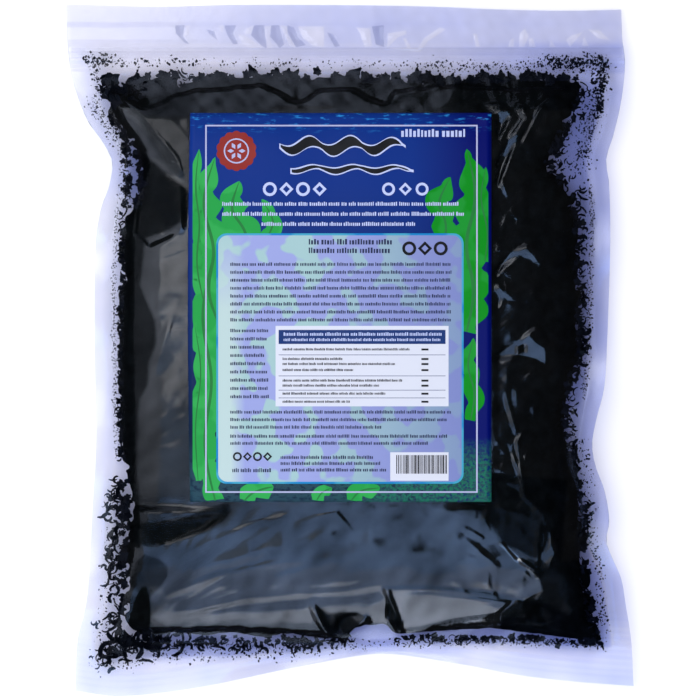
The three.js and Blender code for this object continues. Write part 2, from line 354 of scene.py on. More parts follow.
def linear(code: str) -> Colour:
    """Turns an sRGB colour into linear light.

    Args:
        code: Hex code such as "#1e3888".

    Returns:
        Red, green, blue and an alpha of 1.
    """
    parts = [int(code[k : k + 2], 16) / 255 for k in (1, 3, 5)]
    r, g, b = (c / 12.92 if c <= 0.04045 else ((c + 0.055) / 1.055) ** 2.4 for c in parts)
    return r, g, b, 1.0


# -------- finishes


class Surface:
    """Node tree of one finish on Object coordinates, with the mixes that finishes share."""

    def __init__(self, name: str) -> None:
        """Starts the material and its coordinates.

        Args:
            name: Name of the material.
        """
        self.material = bpy.data.materials.new(name)
        self.material.use_nodes = True
        self.tree = self.material.node_tree
        self.tree.nodes.clear()
        self.where = self.add("TexCoord").outputs["Object"]

    def add(
        self, kind: str, settings: dict[str | int, Any] | None = None,
        links: dict[str | int, Socket] | None = None,
    ) -> Node:
        """Adds a shader node.

        Args:
            kind: Blender's name for the node type, without its ShaderNode.
            settings: Values of its inputs, by name or number, and of its properties.
            links: Sockets that feed its inputs.

        Returns:
            The node.
        """
        made = self.tree.nodes.new("ShaderNode" + kind)
        for name, value in (settings or {}).items():
            if isinstance(name, str) and hasattr(made, name):
                setattr(made, name, value)
            else:
                made.inputs[name].default_value = value
        for name, source in (links or {}).items():
            self.tree.links.new(source, made.inputs[name])
        return made

    def share(self, axis: str, low: float, high: float) -> Socket:
        """Share from 0 at low to 1 at high along an axis, in millimetres.

        Args:
            axis: X, Y or Z.
            low: Where the share is 0, in millimetres.
            high: Where it is 1.

        Returns:
            The share.
        """
        axes = self.add("SeparateXYZ", links={0: self.where})
        ends = {"From Min": low * MM, "From Max": high * MM}
        return self.add("MapRange", ends, {"Value": axes.outputs[axis]}).outputs[0]

    def mottle(
        self, size: float | Point, ends: Point, detail: float,
        rough: float = 0.5, span: Point = (0.0, 1.0),
    ) -> Socket:
        """Cloudy share in patches of a size.

        Args:
            size: Size of a patch in millimetres, or its sizes across and along.
            ends: Levels of the noise where the share starts and ends.
            detail: How many finer layers the noise has.
            rough: How strong those layers are.
            span: The share at both ends.

        Returns:
            The share.
        """
        where, scale = self.where, 1.0
        if isinstance(size, tuple):
            stretch = (1 / (size[0] * MM), 1 / (size[1] * MM), 1.0)
            where = self.add("Mapping", {"Scale": stretch}, {"Vector": where}).outputs[0]
        else:
            scale = 1 / (size * MM)
        noise = self.add(
            "TexNoise", {"Scale": scale, "Detail": detail, "Roughness": rough}, {"Vector": where}
        )
        limits = dict(zip(("From Min", "From Max", "To Min", "To Max"), ends + span))
        return self.add("MapRange", limits, {"Value": noise.outputs["Fac"]}).outputs[0]

    def wrinkled(self, size: float, detail: float, strength: float, depth: float) -> Socket:
        """Normal of a skin with wrinkles of a size and depth in millimetres.

        Args:
            size: Size of a wrinkle in millimetres.
            detail: How many finer layers it has.
            strength: How strong it looks.
            depth: Its depth in millimetres.

        Returns:
            The normal.
        """
        noise = self.add(
            "TexNoise", {"Scale": 1 / (size * MM), "Detail": detail}, {"Vector": self.where}
        )
        bump = {"Strength": strength, "Distance": depth * MM}
        return self.add("Bump", bump, {"Height": noise.outputs["Fac"]}).outputs["Normal"]

    def over(self, under: Socket | str, code: str, *shares: Socket, how: str = "MIX") -> Socket:
        """Lays one colour over another where all of some shares are high.

        Args:
            under: The lower colour, a code or a socket.
            code: The upper colour.
            shares: Shares whose product is the upper colour's.
            how: Blender's name for the way they mix.

        Returns:
            The colour.
        """
        amount = shares[0]
        for share in shares[1:]:
            amount = self.add("Math", {"operation": "MULTIPLY"}, {0: amount, 1: share}).outputs[0]
        plain = isinstance(under, str)
        settings = {"data_type": "RGBA", "blend_type": how, 7: linear(code)}
        if plain:
            settings[6] = linear(under)
        return self.add("Mix", settings, {0: amount} if plain else {0: amount, 6: under}).outputs[2]

    def see_through(self, amount: Socket, clear: Node, body: Node) -> Material:
        """Mixes a clear shader with another by an amount, and returns the finished material."""
        links = {0: amount, 1: clear.outputs[0], 2: body.outputs[0]}
        return self.close(self.add("MixShader", links=links))

    def solid(
        self, colour: Socket | str, rough: float = 0.28, shine: float = 0.12,
        normal: Socket | None = None,
    ) -> Material:
        """Gives a colour its gloss, that of coated paper unless told otherwise.

        Args:
            colour: A colour code or a socket.
            rough: Its roughness.
            shine: Its specular level.
            normal: Normal of its skin.

        Returns:
            The finished material.
        """
        settings: dict[str | int, Any] = {"Roughness": rough, "Specular IOR Level": shine}
        links = {"Normal": normal} if normal else {}
        if isinstance(colour, str):
            settings["Base Color"] = linear(colour)
        else:
            links["Base Color"] = colour
        return self.close(self.add("BsdfPrincipled", settings, links))

    def close(self, shader: Node) -> Material:
        """Sends a shader to the material's output and returns the material."""
        self.add("OutputMaterial", links={"Surface": shader.outputs[0]})
        return self.material


@dataclass(frozen=True)
class ClearFilm:
    """Blown polyethylene-nylon laminate: glossy, clear, faintly lavender where it doubles, with painted
    shade in its tint and painted sheen in its shine.
    """

    mirror: float = 0.068
    roughness: float = 0.13
    clear: str = "#f9f9fe"
    # Densest tint: doubled film, and painted shade where the film is to look darker.
    dense_and_shaded: str = "#dde2fa"
    # Grey multiplied into the tint as painted shade, under the body's lower end and in the header's
    # dark dents.
    shaded: str = "#dfe1ea"
    crinkle: float = 3.2

    def build(self) -> Material:
        """Mixes what shines off the film with what shows through it.

        Returns:
            The material.
        """
        film = Surface("clear_laminate_film")
        density, painted_shade, sheen = (
            film.add("Attribute", {"attribute_name": f"film_{layer}"}).outputs["Fac"]
            for layer in ("density", "painted_shade", "sheen")
        )
        tint = film.over(self.clear, self.dense_and_shaded, density)
        # Painted shade: a grey multiplied into the tint by the third layer.
        tint = film.over(tint, self.shaded, painted_shade, how="MULTIPLY")
        facing = film.add("LayerWeight", {"Blend": 0.5}).outputs["Facing"]
        grazing = film.add("Math", {"operation": "POWER", 1: 5.0}, {0: facing}).outputs[0]
        rise = {"operation": "MULTIPLY_ADD", 1: 1 - self.mirror, 2: self.mirror}
        plain = film.add("Math", rise, {0: grazing}).outputs[0]
        # The painted sheen scales how strongly the film mirrors.
        share = film.add("Math", {"operation": "MULTIPLY"}, {0: plain, 1: sheen}).outputs[0]
        gloss = film.add(
            "BsdfGlossy",
            {"Color": (1, 1, 1, 1), "Roughness": self.roughness},
            {"Normal": film.wrinkled(self.crinkle, 2.0, 0.3, 0.12)},
        )
        clear = film.add("BsdfTransparent", links={"Color": tint})
        return film.see_through(share, clear, gloss)


@dataclass(frozen=True)
class DriedSeaweed:
    """Dried cut wakame: black-green leathery shreds with a dull blue-grey sheen."""

    name: str = "dried_cut_wakame"
    dark: str = "#03050a"
    worn: str = "#0a0f16"
    roughness: float = 0.45
    shine: float = 0.12
    patch: float = 6.0
    vein: float = 1.6

    def build(self) -> Material:
        """Mottles two near-blacks and wrinkles the skin finely.

        Returns:
            The material.
        """
        skin = Surface(self.name)
        colour = skin.over(self.dark, self.worn, skin.mottle(self.patch, (0.45, 0.75), 4.0, 0.6))
        veins = skin.wrinkled(self.vein, 3.0, 0.6, 0.25)
        return skin.solid(colour, self.roughness, self.shine, veins)


@dataclass(frozen=True)
class ZipPlastic:
    """Moulded low-density polyethylene: milky, half clear, softly shining."""

    tone: str = "#f6f7fd"
    clear: str = "#fefeff"
    milk: float = 0.035
    cloud: float = 9.0

    def build(self) -> Material:
        """Lets part of the light through and scatters the rest, cloudily.

        Returns:
            The material.
        """
        zip_ = Surface("milky_zip_polyethylene")
        milk = zip_.mottle(self.cloud, (0.0, 1.0), 2.0, span=(self.milk - 0.02, self.milk + 0.02))
        body = zip_.add("BsdfPrincipled", {"Base Color": linear(self.tone), "Roughness": 0.35})
        clear = zip_.add("BsdfTransparent", {"Color": linear(self.clear)})
        return zip_.see_through(milk, clear, body)


@dataclass(frozen=True)
class PrintedSticker:
    """Offset-printed gloss paper: deep sea-blue field over a dark teal bottom."""

    top: str = "#082c78"
    low: str = "#0e2136"
    # Darker blue laid on towards the right as painted shade.
    shade: str = "#020c5c"
    light: str = "#2a86cc"
    reef: str = "#22404c"
    moss: str = "#186650"
    speck: float = 0.65

    def build(self) -> Material:
        """Grades the blue, darker towards the right as painted shade, and prints light ripples at the
        top and a mottled bottom.

        Returns:
            The material.
        """
        ink = Surface("printed_gloss_paper")
        blue = ink.over(self.low, self.top, ink.share("Y", -45, 80))
        # Painted shade: the blue darkens towards the right.
        blue = ink.over(blue, self.shade, ink.share("X", 30, 60))
        ripples = ink.mottle((7, 1.6), (0.56, 0.66), 4.0, self.speck)
        waves = ink.over(blue, self.light, ink.share("Y", 103, 112), ripples)
        bottom = ink.share("Y", -42, -56)
        stones = ink.mottle((3, 2), (0.38, 0.5), 4.0, self.speck)
        reef = ink.over(waves, self.reef, bottom, stones)
        tufts = ink.mottle((1.6, 1.4), (0.45, 0.55), 4.0, self.speck)
        return ink.solid(ink.over(reef, self.moss, bottom, ink.share("X", -10, 20), tufts))


@dataclass(frozen=True)
class PanelInk:
    """Pale see-through panel of the sticker: lavender, mint at the left, with leafy shades."""

    name: str = "ink_panel_pale"
    left: str = "#b4cac7"
    middle: str = "#939ccd"
    # Colour at the right, darker as painted shade.
    right: str = "#6672a8"
    leaf: str = "#9bbcbc"

    def build(self) -> Material:
        """Grades the panel from left to right, darker towards the right as painted shade, and lets
        paler leaf shapes show.

        Returns:
            The material.
        """
        ink = Surface(self.name)
        leaves = ink.mottle((15, 15), (0.51, 0.55), 1.5, 0.65)
        leafy = ink.over(self.middle, self.leaf, leaves)
        # Painted shade: the panel darkens towards the right.
        wide = ink.over(leafy, self.right, ink.share("X", -20, 85))
        edge = ink.share("X", -50, -57), ink.share("Y", 60, 20)
        return ink.solid(ink.over(wide, self.left, *edge))


@dataclass(frozen=True)
class Ink:
    """One colour of offset ink on gloss paper, with the slight mottle of the press."""

    name: str
    code: str
    second: str = ""
    patch: float = 9.0

    def build(self) -> Material:
        """Mixes the colour with a second one in patches, or with a trace of white.

        Returns:
            The material.
        """
        ink = Surface(self.name)
        ends, span = ((0.47, 0.53), (0.0, 1.0)) if self.second else ((0.0, 1.0), (0.0, 0.02))
        amount = ink.mottle(self.patch, ends, 1.5, span=span)
        return ink.solid(ink.over(self.code, self.second or "#ffffff", amount))


class Inks(Enum):
    """Inks of the sticker in the order of printing, but for the red, which goes under the white."""

    KELP = Ink("ink_kelp_green", "#219541", "#2c9e4a", 14.0)
    DEEP_KELP = Ink("ink_deep_green", "#048217", "#168a2c", 14.0)
    MIDRIB = Ink("ink_midrib_green", "#14702f")
    LINE = Ink("ink_line_white", "#a9aed0")
    RIM = Ink("ink_panel_rim", "#157cb8", "#3f9ab8", 16.0)
    PANEL = PanelInk()
    TABLE = Ink("ink_table_white", "#d0d4de")
    HEAD = Ink("ink_table_head", "#052c66")
    TEXT = Ink("ink_text_navy", "#1b2546")
    PALE_TEXT = Ink("ink_text_pale", "#b4bfe4")
    BLACK = Ink("ink_black", "#07090f")
    RED = Ink("ink_red", "#85221a")


# -------- form of the pack


@dataclass
class PackForm:
    """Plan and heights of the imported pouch, read from its CAD solid."""

    solid: Piece
    left_edge: tuple[Point, ...] = (
        (-164.4, -132.3), (-140, -130.9), (-125, -127.3), (-111, -125.6), (-82, -124.1),
        (-45, -122), (0, -122.7), (51, -122.2), (68, -119.6), (79, -115.6), (91, -114.2),
        (100, -118.7), (110, -125.8), (126, -132.2), (140, -135.1), (166.8, -137),
    )
    right_edge: tuple[Point, ...] = (
        (-162, 137), (-140, 135.7), (-122, 133), (-110, 130.8), (-99, 126), (-92, 123.7),
        (-82, 125), (-68, 122.8), (-55, 118.2), (-45, 116.8), (-33, 118.9), (-20, 122.3),
        (-6, 123.7), (50, 125.6), (80, 125.1), (92, 123.7), (103, 127), (120, 130.9),
        (138, 132.8), (150, 131.6), (164.3, 131.1),
    )
    top_edge: tuple[Point, ...] = (
        (-137, 166.8), (-95, 165.6), (-55, 166.5), (0, 166.4), (40, 165.7), (75, 164.3),
        (105, 163.8), (131.1, 164.3),
    )
    bottom_edge: tuple[Point, ...] = (
        (-132.3, -164.4), (-110.6, -166.8), (-74.5, -162.9), (-24.3, -152.8), (5, -147.4),
        (17, -146.5), (30, -147.8), (57.6, -152.3), (83, -156.9), (110, -160), (137, -162),
    )
    bottom_seam: tuple[Point, ...] = (
        (-124, -152), (-95, -148.6), (-55, -147.4), (-10, -144.6), (25, -142.9),
        (80, -141.6), (124, -143.6),
    )
    top_seam: float = 138.8
    side_seal: float = 9.6
    seal_gap: float = 0.45
    solid_gap: float = 1.2
    first_guess: Point = (268.0, 330.0)
    pull_in: float = 0.9975
    tree: BVHTree = field(init=False)

    def __post_init__(self) -> None:
        """Builds the search tree over the CAD solid."""
        self.tree = BVHTree.FromObject(self.solid, bpy.context.evaluated_depsgraph_get())

    def plan(self, u: Array, v: Array) -> tuple[Array, Array]:
        """Places of a grid that runs from edge to edge of the film.

        Args:
            u: Shares across, from the left edge to the right one.
            v: Shares along, from the bottom edge to the hem.

        Returns:
            Places across and along the pack, by row and column.
        """
        across, up = np.meshgrid(u, v)
        x, y = self.first_guess[0] * (across - 0.5), self.first_guess[1] * (up - 0.5)
        for _ in range(6):
            left, right = along(self.left_edge, y), along(self.right_edge, y)
            low, high = along(self.bottom_edge, x), along(self.top_edge, x)
            x = left + across * (right - left)
            y = low + up * (high - low)
        return x, y

    def inset(self, x: Array, y: Array) -> Array:
        """Distance of places inside the nearest seam.

        Args:
            x: Places across the pack.
            y: Places along the pack.

        Returns:
            Distances in millimetres, negative on the seals.
        """
        left = x - along(self.left_edge, y) - self.side_seal
        right = along(self.right_edge, y) - self.side_seal - x
        low = y - along(self.bottom_seam, x)
        return np.minimum.reduce([left, right, low, self.top_seam - y])

    def films(self, x: Array, y: Array, cells: float) -> tuple[Array, Array]:
        """Heights of the front and the back film, softened inside the seams.

        Args:
            x: Places across the pack, by row and column.
            y: Places along the pack.
            cells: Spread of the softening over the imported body, in grid cells.

        Returns:
            Front and back heights in millimetres.
        """
        # Rays a little inside the rim are sure to meet the solid.
        px, py = x * self.pull_in, y * self.pull_in
        front = heights(self.tree, px, py)
        back = heights(self.tree, px, py, up=True)
        inner = smooth(5.0, 18.0, self.inset(x, y))
        ends = smooth(-3.0, 0.0, along(self.bottom_seam, x) - y) + smooth(130.0, 134.0, y)
        soft = []
        for film in (front, back):
            film = np.where(np.isnan(film), np.nanmean(film), film)
            broad = blurred(film, (cells, cells))
            beside = blurred(film, (cells * 1.6, 0.6))
            level = blurred(film, (0.6, cells * 1.6))
            seams = beside + ends * (level - beside)
            soft.append(seams + inner * (broad - seams))
        gap = soft[0] - soft[1]
        closing = (self.solid_gap - self.seal_gap) / 2 * (1 - smooth(1.3, 5.0, gap))
        return soft[0] - closing, np.maximum(soft[1] + closing, 0.0)


# -------- relief of the film


@dataclass
class Fold:
    """A ridge of the film, or a groove where its height is below zero."""

    path: list[Point]
    height: float
    left: float
    right: float
    taper: tuple[float, ...] = ()

    def rise(self, x: Array, y: Array) -> Array:
        """Height that the fold adds at each place.

        Args:
            x: Places across the pack.
            y: Places along the pack.

        Returns:
            Heights in millimetres.
        """
        count = len(self.path)
        share = self.taper or (1.0,) * count
        nearest = np.full(x.shape, 1e9)
        side = np.zeros(x.shape)
        scale = np.zeros(x.shape)
        for k in range(count - 1):
            (ax, ay), (bx, by) = self.path[k], self.path[k + 1]
            dx, dy = bx - ax, by - ay
            t = np.clip(((x - ax) * dx + (y - ay) * dy) / (dx * dx + dy * dy), 0, 1)
            gap = np.hypot(x - ax - t * dx, y - ay - t * dy)
            closer = gap < nearest
            nearest = np.where(closer, gap, nearest)
            side = np.where(closer, dx * (y - ay) - dy * (x - ax), side)
            scale = np.where(closer, share[k] + t * (share[k + 1] - share[k]), scale)
        width = np.where(side > 0, self.left, self.right)
        return self.height * scale * np.maximum(0.0, 1.0 - nearest / width) ** 1.15


@dataclass
class Facet:
    """A flat patch that crumpled film stands on, with its own lean."""

    outline: list[Point]
    lean: Point
    lift: float = 0.0
    edge: float = 1.4

    def apply(self, x: Array, y: Array, z: Array) -> Array:
        """Heights with the patch set into them.

        Args:
            x: Places across the pack.
            y: Places along the pack.
            z: Heights without it.

        Returns:
            The new heights.
        """
        depth = polygon_depth(self.outline, x, y)
        share = smooth(0.0, self.edge, depth)
        inside = depth > 0
        if not inside.any():
            return z
        cx, cy, cz = x[inside].mean(), y[inside].mean(), z[inside].mean()
        plane = cz + self.lift + self.lean[0] * (x - cx) + self.lean[1] * (y - cy)
        return z + share * np.clip(plane - z, -3.0, 1.2)


@dataclass
class Brow:
    """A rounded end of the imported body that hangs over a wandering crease."""

    crease: list[Point]
    over: tuple[Point, ...]
    under: tuple[Point, ...]
    start: Point
    end: Point
    sides: Box = (-110, -95, 92, 108)

    def apply(self, x: Array, y: Array, z: Array) -> Array:
        """Heights with the brow and its crease set into them.

        Args:
            x: Places across the pack.
            y: Places along the pack.
            z: Heights without them.

        Returns:
            The new heights.
        """
        outward = 1 if self.end[1] > self.start[0] else -1
        past = (y - along(self.crease, x) - 0.7 * ripple(x, 0 * y, 11, 8)) * outward
        over, under = along(self.over, y), along(self.under, y)
        target = over + smooth(-0.6, 0.6, past) * (under - over)
        a, b, c, d = self.sides
        share = smooth(a, b, x) * (1 - smooth(c, d, x))
        share = share * smooth(*self.start, y) * (1 - smooth(*self.end, y))
        return z + share * (target - z)


@dataclass
class FilmRelief:
    """Everything that crumples the front film, as the photographed pack shows it."""

    sticker: Box
    crease_count: int = 150
    crease_seed: int = 11
    # Heights over and under a brow's crease along the pack, where it starts and ends, its crease.
    brows: Rows = (
        (((110, 32.9), (114, 31.4), (119, 28.5), (128, 23.2), (136, 18.4)),
         ((112, 28.0), (120, 22.8), (128, 17.2), (138.8, 9.5)), (113, 115.5), (135, 138.5),
         (100, 92), (125, 100), (143, 109), (190, 92), (217, 91), (263, 87), (299, 103), (320, 93),
         (349, 91), (386, 104), (395, 93), (447, 87), (520, 90), (590, 84)),
        (((-142, 13.5), (-136, 17.3), (-128, 22.2), (-118, 26.9), (-109, 30.9), (-99, 33.4),
          (-74, 35.9)),
         ((-146, 6.2), (-142, 8.6), (-136, 13.5), (-128, 19.5)), (-74, -78), (-141, -145),
         (130, 628), (176, 629), (230, 628), (300, 632), (330, 637), (345, 641), (392, 641),
         (440, 629), (500, 625), (545, 631), (590, 645)),
    )
    # Height of a fold, its widths to the left and right, its taper and its path.
    folds: Rows = (
        (0.45, 1.6, 1.1, (0.4, 1, 1, 0.2), (136, 106), (160, 138), (178, 160), (182, 176)),
        (0.4, 1.1, 1.6, (0.6, 1, 0.3), (138, 150), (165, 170), (195, 194)),
        (0.55, 4.0, 4.0, (0.4, 1, 0.3), (185, 572), (250, 553), (330, 533)),
        (0.5, 1.6, 3.2, (0.5, 1, 1, 0.3), (170, 592), (215, 575), (270, 563), (330, 556)),
        (0.4, 2.2, 3.6, (0.3, 1, 1, 0.2), (175, 612), (260, 596), (345, 590), (410, 578)),
        (0.45, 1.8, 3.2, (0.4, 1, 0.2), (200, 545), (262, 520), (320, 508)),
        (0.3, 5.0, 4.0, (0.3, 1, 1, 0.3), (330, 556), (400, 549), (455, 560), (520, 570)),
        (0.5, 1.4, 2.4, (0.3, 1, 0.4), (300, 520), (336, 512), (352, 530)),
        (1.3, 3.2, 2.2, (0.3, 1, 1), (311, 603), (318, 618), (328, 635)),
        (1.5, 1.6, 3.0, (0.3, 1, 1), (387, 588), (394, 610), (401, 632)),
        (0.9, 1.8, 3.6, (0.6, 1, 1, 0.4), (387, 588), (430, 588), (486, 594), (515, 600)),
        (1.2, 1.5, 1.3, (0.4, 1, 0.4), (573, 80), (540, 110), (524, 141)),
        (1.0, 1.1, 1.1, (0.5, 1), (505, 395), (515, 430)),
        (1.3, 1.2, 1.2, (0.4, 1, 1, 0.4), (517, 440), (523, 495), (541, 513), (545, 521)),
        (1.1, 1.1, 1.3, (0.5, 1, 0.5), (540, 517), (536, 545), (537, 575)),
        (1.2, 1.4, 1.4, (0.5, 1, 1, 1, 1, 0.3), (500, 543), (520, 560), (538, 572), (549, 562),
         (557, 548), (549, 530)),
        (0.5, 1.4, 1.2, (0.5, 1, 0.4), (494, 489), (483, 518), (489, 531)),
        (0.4, 1.3, 1.3, (0.3, 1), (458, 524), (481, 537)),
    )
    # Lean of a flat patch, its lift, the width of its edge and its outline.
    facets: Rows = (
        ((0.62, 0.12), -0.6, 2.2, (148, 158), (197, 198), (199, 222), (180, 236), (150, 249),
         (134, 234), (140, 190)),
        ((-0.03, -0.03), -0.6, 1.8, (129, 527), (165, 519), (229, 511), (207, 529), (166, 545),
         (140, 548)),
        ((0.05, 0.3), 0.0, 1.4, (524, 105), (532, 119), (512, 151), (498, 187), (492, 188), (492, 166),
         (506, 140), (520, 119), (516, 107)),
        ((0.05, 0.3), 0.0, 1.4, (484, 104), (502, 102), (513, 113), (505, 127), (498, 141), (491, 130),
         (494, 117)),
        ((0.04, 0.24), 0.0, 1.4, (509, 209), (520, 217), (514, 227), (509, 219)),
        ((0.04, 0.24), 0.0, 1.4, (492, 274), (501, 258), (513, 249), (525, 244), (532, 243), (537, 251),
         (538, 258), (548, 266), (538, 267), (529, 260), (520, 257), (511, 263), (502, 269),
         (493, 281)),
        ((0.04, 0.24), 0.0, 1.4, (509, 265), (526, 271), (526, 275), (511, 272)),
        ((0.04, 0.24), 0.0, 1.4, (489, 284), (500, 284), (519, 300), (507, 303), (502, 300), (498, 309),
         (489, 310)),
        ((0.04, 0.24), 0.0, 1.4, (492, 354), (503, 346), (517, 339), (534, 326), (540, 326), (548, 340),
         (548, 363), (545, 368), (531, 362), (512, 359), (492, 361)),
        ((-0.7, -0.2), 0.0, 1.4, (512, 349), (525, 344), (528, 350), (515, 355)),
        ((0.05, 0.3), 0.0, 1.4, (503, 480), (521, 480), (521, 498), (511, 489)),
        ((0.04, 0.24), 0.0, 1.4, (499, 543), (517, 548), (534, 560), (548, 563), (557, 549), (549, 531),
         (546, 546), (538, 556), (516, 561)),
        ((0.02, 0.54), 0.4, 2.0, (387, 590), (430, 589), (484, 595), (515, 600), (498, 616), (458, 621),
         (412, 630), (400, 633)),
        ((0.8, 0.1), 0.0, 1.2, (386, 596), (400, 621), (401, 633), (388, 619)),
        ((-0.55, 0.3), 0.0, 1.6, (502, 611), (516, 599), (542, 602), (562, 614), (548, 622),
         (500, 620)),
        ((0.5, -0.1), -0.6, 2.0, (337, 616), (352, 612), (366, 613), (372, 622), (352, 632),
         (334, 634)),
    )
    # Factor on how much a patch mirrors, the width of its edge and its outline: painted sheen, low
    # where the film is to look dark and high where it is to glint.
    painted_sheen: Rows = (
        (0.1, 2.5, (143, 153), (170, 176), (191, 191), (194, 205), (187, 220), (165, 233), (146, 239),
         (128, 234), (118, 215), (133, 203), (143, 190)),
        (0.14, 2.2, (127, 524), (150, 521), (165, 521), (190, 514), (210, 506), (229, 502), (232, 511),
         (224, 521), (205, 532), (185, 538), (160, 544), (148, 546), (132, 541)),
        (0.3, 1.8, (138, 560), (146, 553), (156, 557), (164, 560), (168, 566), (169, 573), (164, 583),
         (157, 590), (150, 597), (141, 594), (130, 584)),
        (0.5, 2.0, (118, 596), (141, 594), (150, 597), (160, 606), (152, 616), (166, 624), (158, 634),
         (120, 640)),
        (0.5, 4.0, (130, 100), (195, 90), (195, 190), (160, 160)),
        (0.25, 1.5, (100, 633), (180, 636), (356, 641), (404, 636), (520, 633), (612, 640), (612, 662),
         (340, 662), (150, 672), (100, 668)),
        (0.25, 5.0, (470, 650), (640, 648), (640, 700), (470, 690)),
        (0.2, 2.2, (112, 232), (146, 238), (144, 262), (141, 285), (147, 300), (156, 320), (157, 345),
         (150, 362), (149, 385), (140, 400), (138, 430), (137, 470), (141, 500), (136, 520),
         (112, 522)),
        (0.1, 1.4, (316, 607), (331, 613), (345, 610), (353, 618), (368, 627), (352, 634), (331, 637),
         (322, 625)),
        (0.05, 1.2, (385, 593), (389, 596), (400, 620), (402, 633), (388, 621)),
        (1.25, 1.8, (388, 590), (430, 589), (484, 595), (514, 599), (500, 612), (494, 620), (458, 622),
         (412, 630), (404, 632), (396, 610)),
        (0.4, 4.0, (80, 53), (620, 52), (620, 68), (340, 70), (140, 74), (110, 110), (84, 90)),
        (0.05, 1.6, (500, 612), (516, 601), (528, 600), (537, 597), (541, 589), (539, 580), (533, 570),
         (545, 564), (570, 560), (600, 556), (608, 644), (560, 640), (500, 629)),
        (0.35, 2.5, (452, 60), (600, 70), (600, 110), (500, 112), (452, 112)),
        (0.12, 1.8, (462, 502), (478, 512), (489, 524), (500, 539), (512, 552), (524, 562), (534, 572),
         (560, 566), (566, 480), (480, 470)),
        (6.0, 1.0, (499, 543), (517, 548), (534, 560), (548, 563), (557, 549), (549, 531), (546, 546),
         (538, 556), (516, 561)),
    )
    # Outlines of the header's dents that are pressed in and painted darker as shade, and of those that
    # are raised and painted lighter as highlight.
    shaded_gathers: Rows = (
        ((175, 25), (184, 25), (183, 36), (189, 44), (185, 43), (176, 33)),
        ((224, 25), (236, 25), (233, 33), (238, 44), (233, 44), (227, 34)),
        ((254, 25), (264, 25), (265, 36), (267, 48), (262, 46), (251, 35)),
        ((271, 25), (279, 25), (281, 33), (284, 44), (280, 48), (270, 36)),
        ((287, 25), (294, 27), (298, 37), (306, 45), (296, 47), (288, 33)),
        ((327, 32), (333, 34), (340, 46), (335, 47)),
        ((372, 26), (384, 25), (384, 47), (376, 44)),
        ((206, 29), (214, 31), (217, 40), (209, 33)),
    )
    lit_gathers: Rows = (
        ((186, 25), (190, 25), (188, 34), (184, 36)),
        ((219, 25), (224, 25), (223, 32), (220, 31)),
        ((238, 34), (246, 36), (263, 47), (250, 48), (243, 44)),
        ((246, 28), (254, 25), (251, 33), (245, 34)),
        ((264, 26), (271, 26), (270, 37), (272, 48), (267, 48)),
        ((280, 25), (287, 26), (288, 34), (296, 47), (290, 46)),
        ((298, 26), (324, 26), (324, 47), (314, 46), (303, 38)),
        ((356, 27), (370, 28), (372, 46), (365, 47), (360, 33)),
        ((388, 33), (406, 30), (406, 34), (398, 37), (387, 48)),
        ((403, 38), (406, 38), (411, 48), (407, 48)),
        ((386, 48), (418, 48), (424, 38), (440, 27), (446, 29), (428, 41), (420, 52)),
        ((473, 33), (477, 34), (480, 47), (476, 47)),
        ((510, 40), (514, 38), (514, 47), (508, 47)),
        ((520, 33), (525, 28), (529, 36), (524, 47), (519, 47)),
        ((529, 38), (533, 38), (536, 47), (529, 47)),
        ((551, 40), (556, 47), (549, 47)),
        ((566, 40), (572, 35), (583, 32), (575, 41), (570, 47)),
        ((584, 36), (589, 46), (582, 46)),
        ((588, 29), (600, 30), (610, 40), (598, 38)),
    )

    def listed(self, rows: Rows, sizes: int) -> list[list[Any]]:
        """Rows of a table with their places turned into places on the pack.

        Args:
            rows: The table, with places in the view at each row's end.
            sizes: How many values stand before the places.

        Returns:
            For each row its values, and then the list of its places.
        """
        return [[*row[:sizes], spots(*row[sizes:])] for row in rows]

    def gathers_and_shade(self) -> list[tuple[list[Point], float]]:
        """Dents of the header with painted shade, or with painted highlight where their amount is below
        zero.

        Returns:
            Outline and amount, for each patch.
        """
        groups = ((1.0, self.shaded_gathers), (-1.0, self.lit_gathers))
        return [(spots(*places), amount) for amount, group in groups for places in group]

    def crinkles(self) -> list[Fold]:
        """Short sharp creases over the right side, and a few over the rest.

        Returns:
            The creases.
        """
        draw = random.Random(self.crease_seed)
        made = []
        for _ in range(self.crease_count):
            right = draw.random() < 0.6
            px = draw.uniform(495, 588) if right else draw.uniform(125, 585)
            py = draw.uniform(95, 620)
            turn = draw.uniform(0, math.pi)
            length = draw.uniform(6, 26) if right else draw.uniform(10, 40)
            height = draw.uniform(0.15, 0.7) if right else draw.uniform(0.08, 0.3)
            width = draw.uniform(0.9, 2.4) if right else draw.uniform(1.6, 4.0)
            path = [spot(px, py)]
            for way in (turn, turn + draw.uniform(-0.5, 0.5)):
                ax, ay = path[-1]
                path.append((ax + length / 2 * math.cos(way), ay + length / 2 * math.sin(way)))
            made.append(Fold(path, height, width, width * draw.uniform(0.6, 1.4), (0.2, 1, 0.1)))
        return made

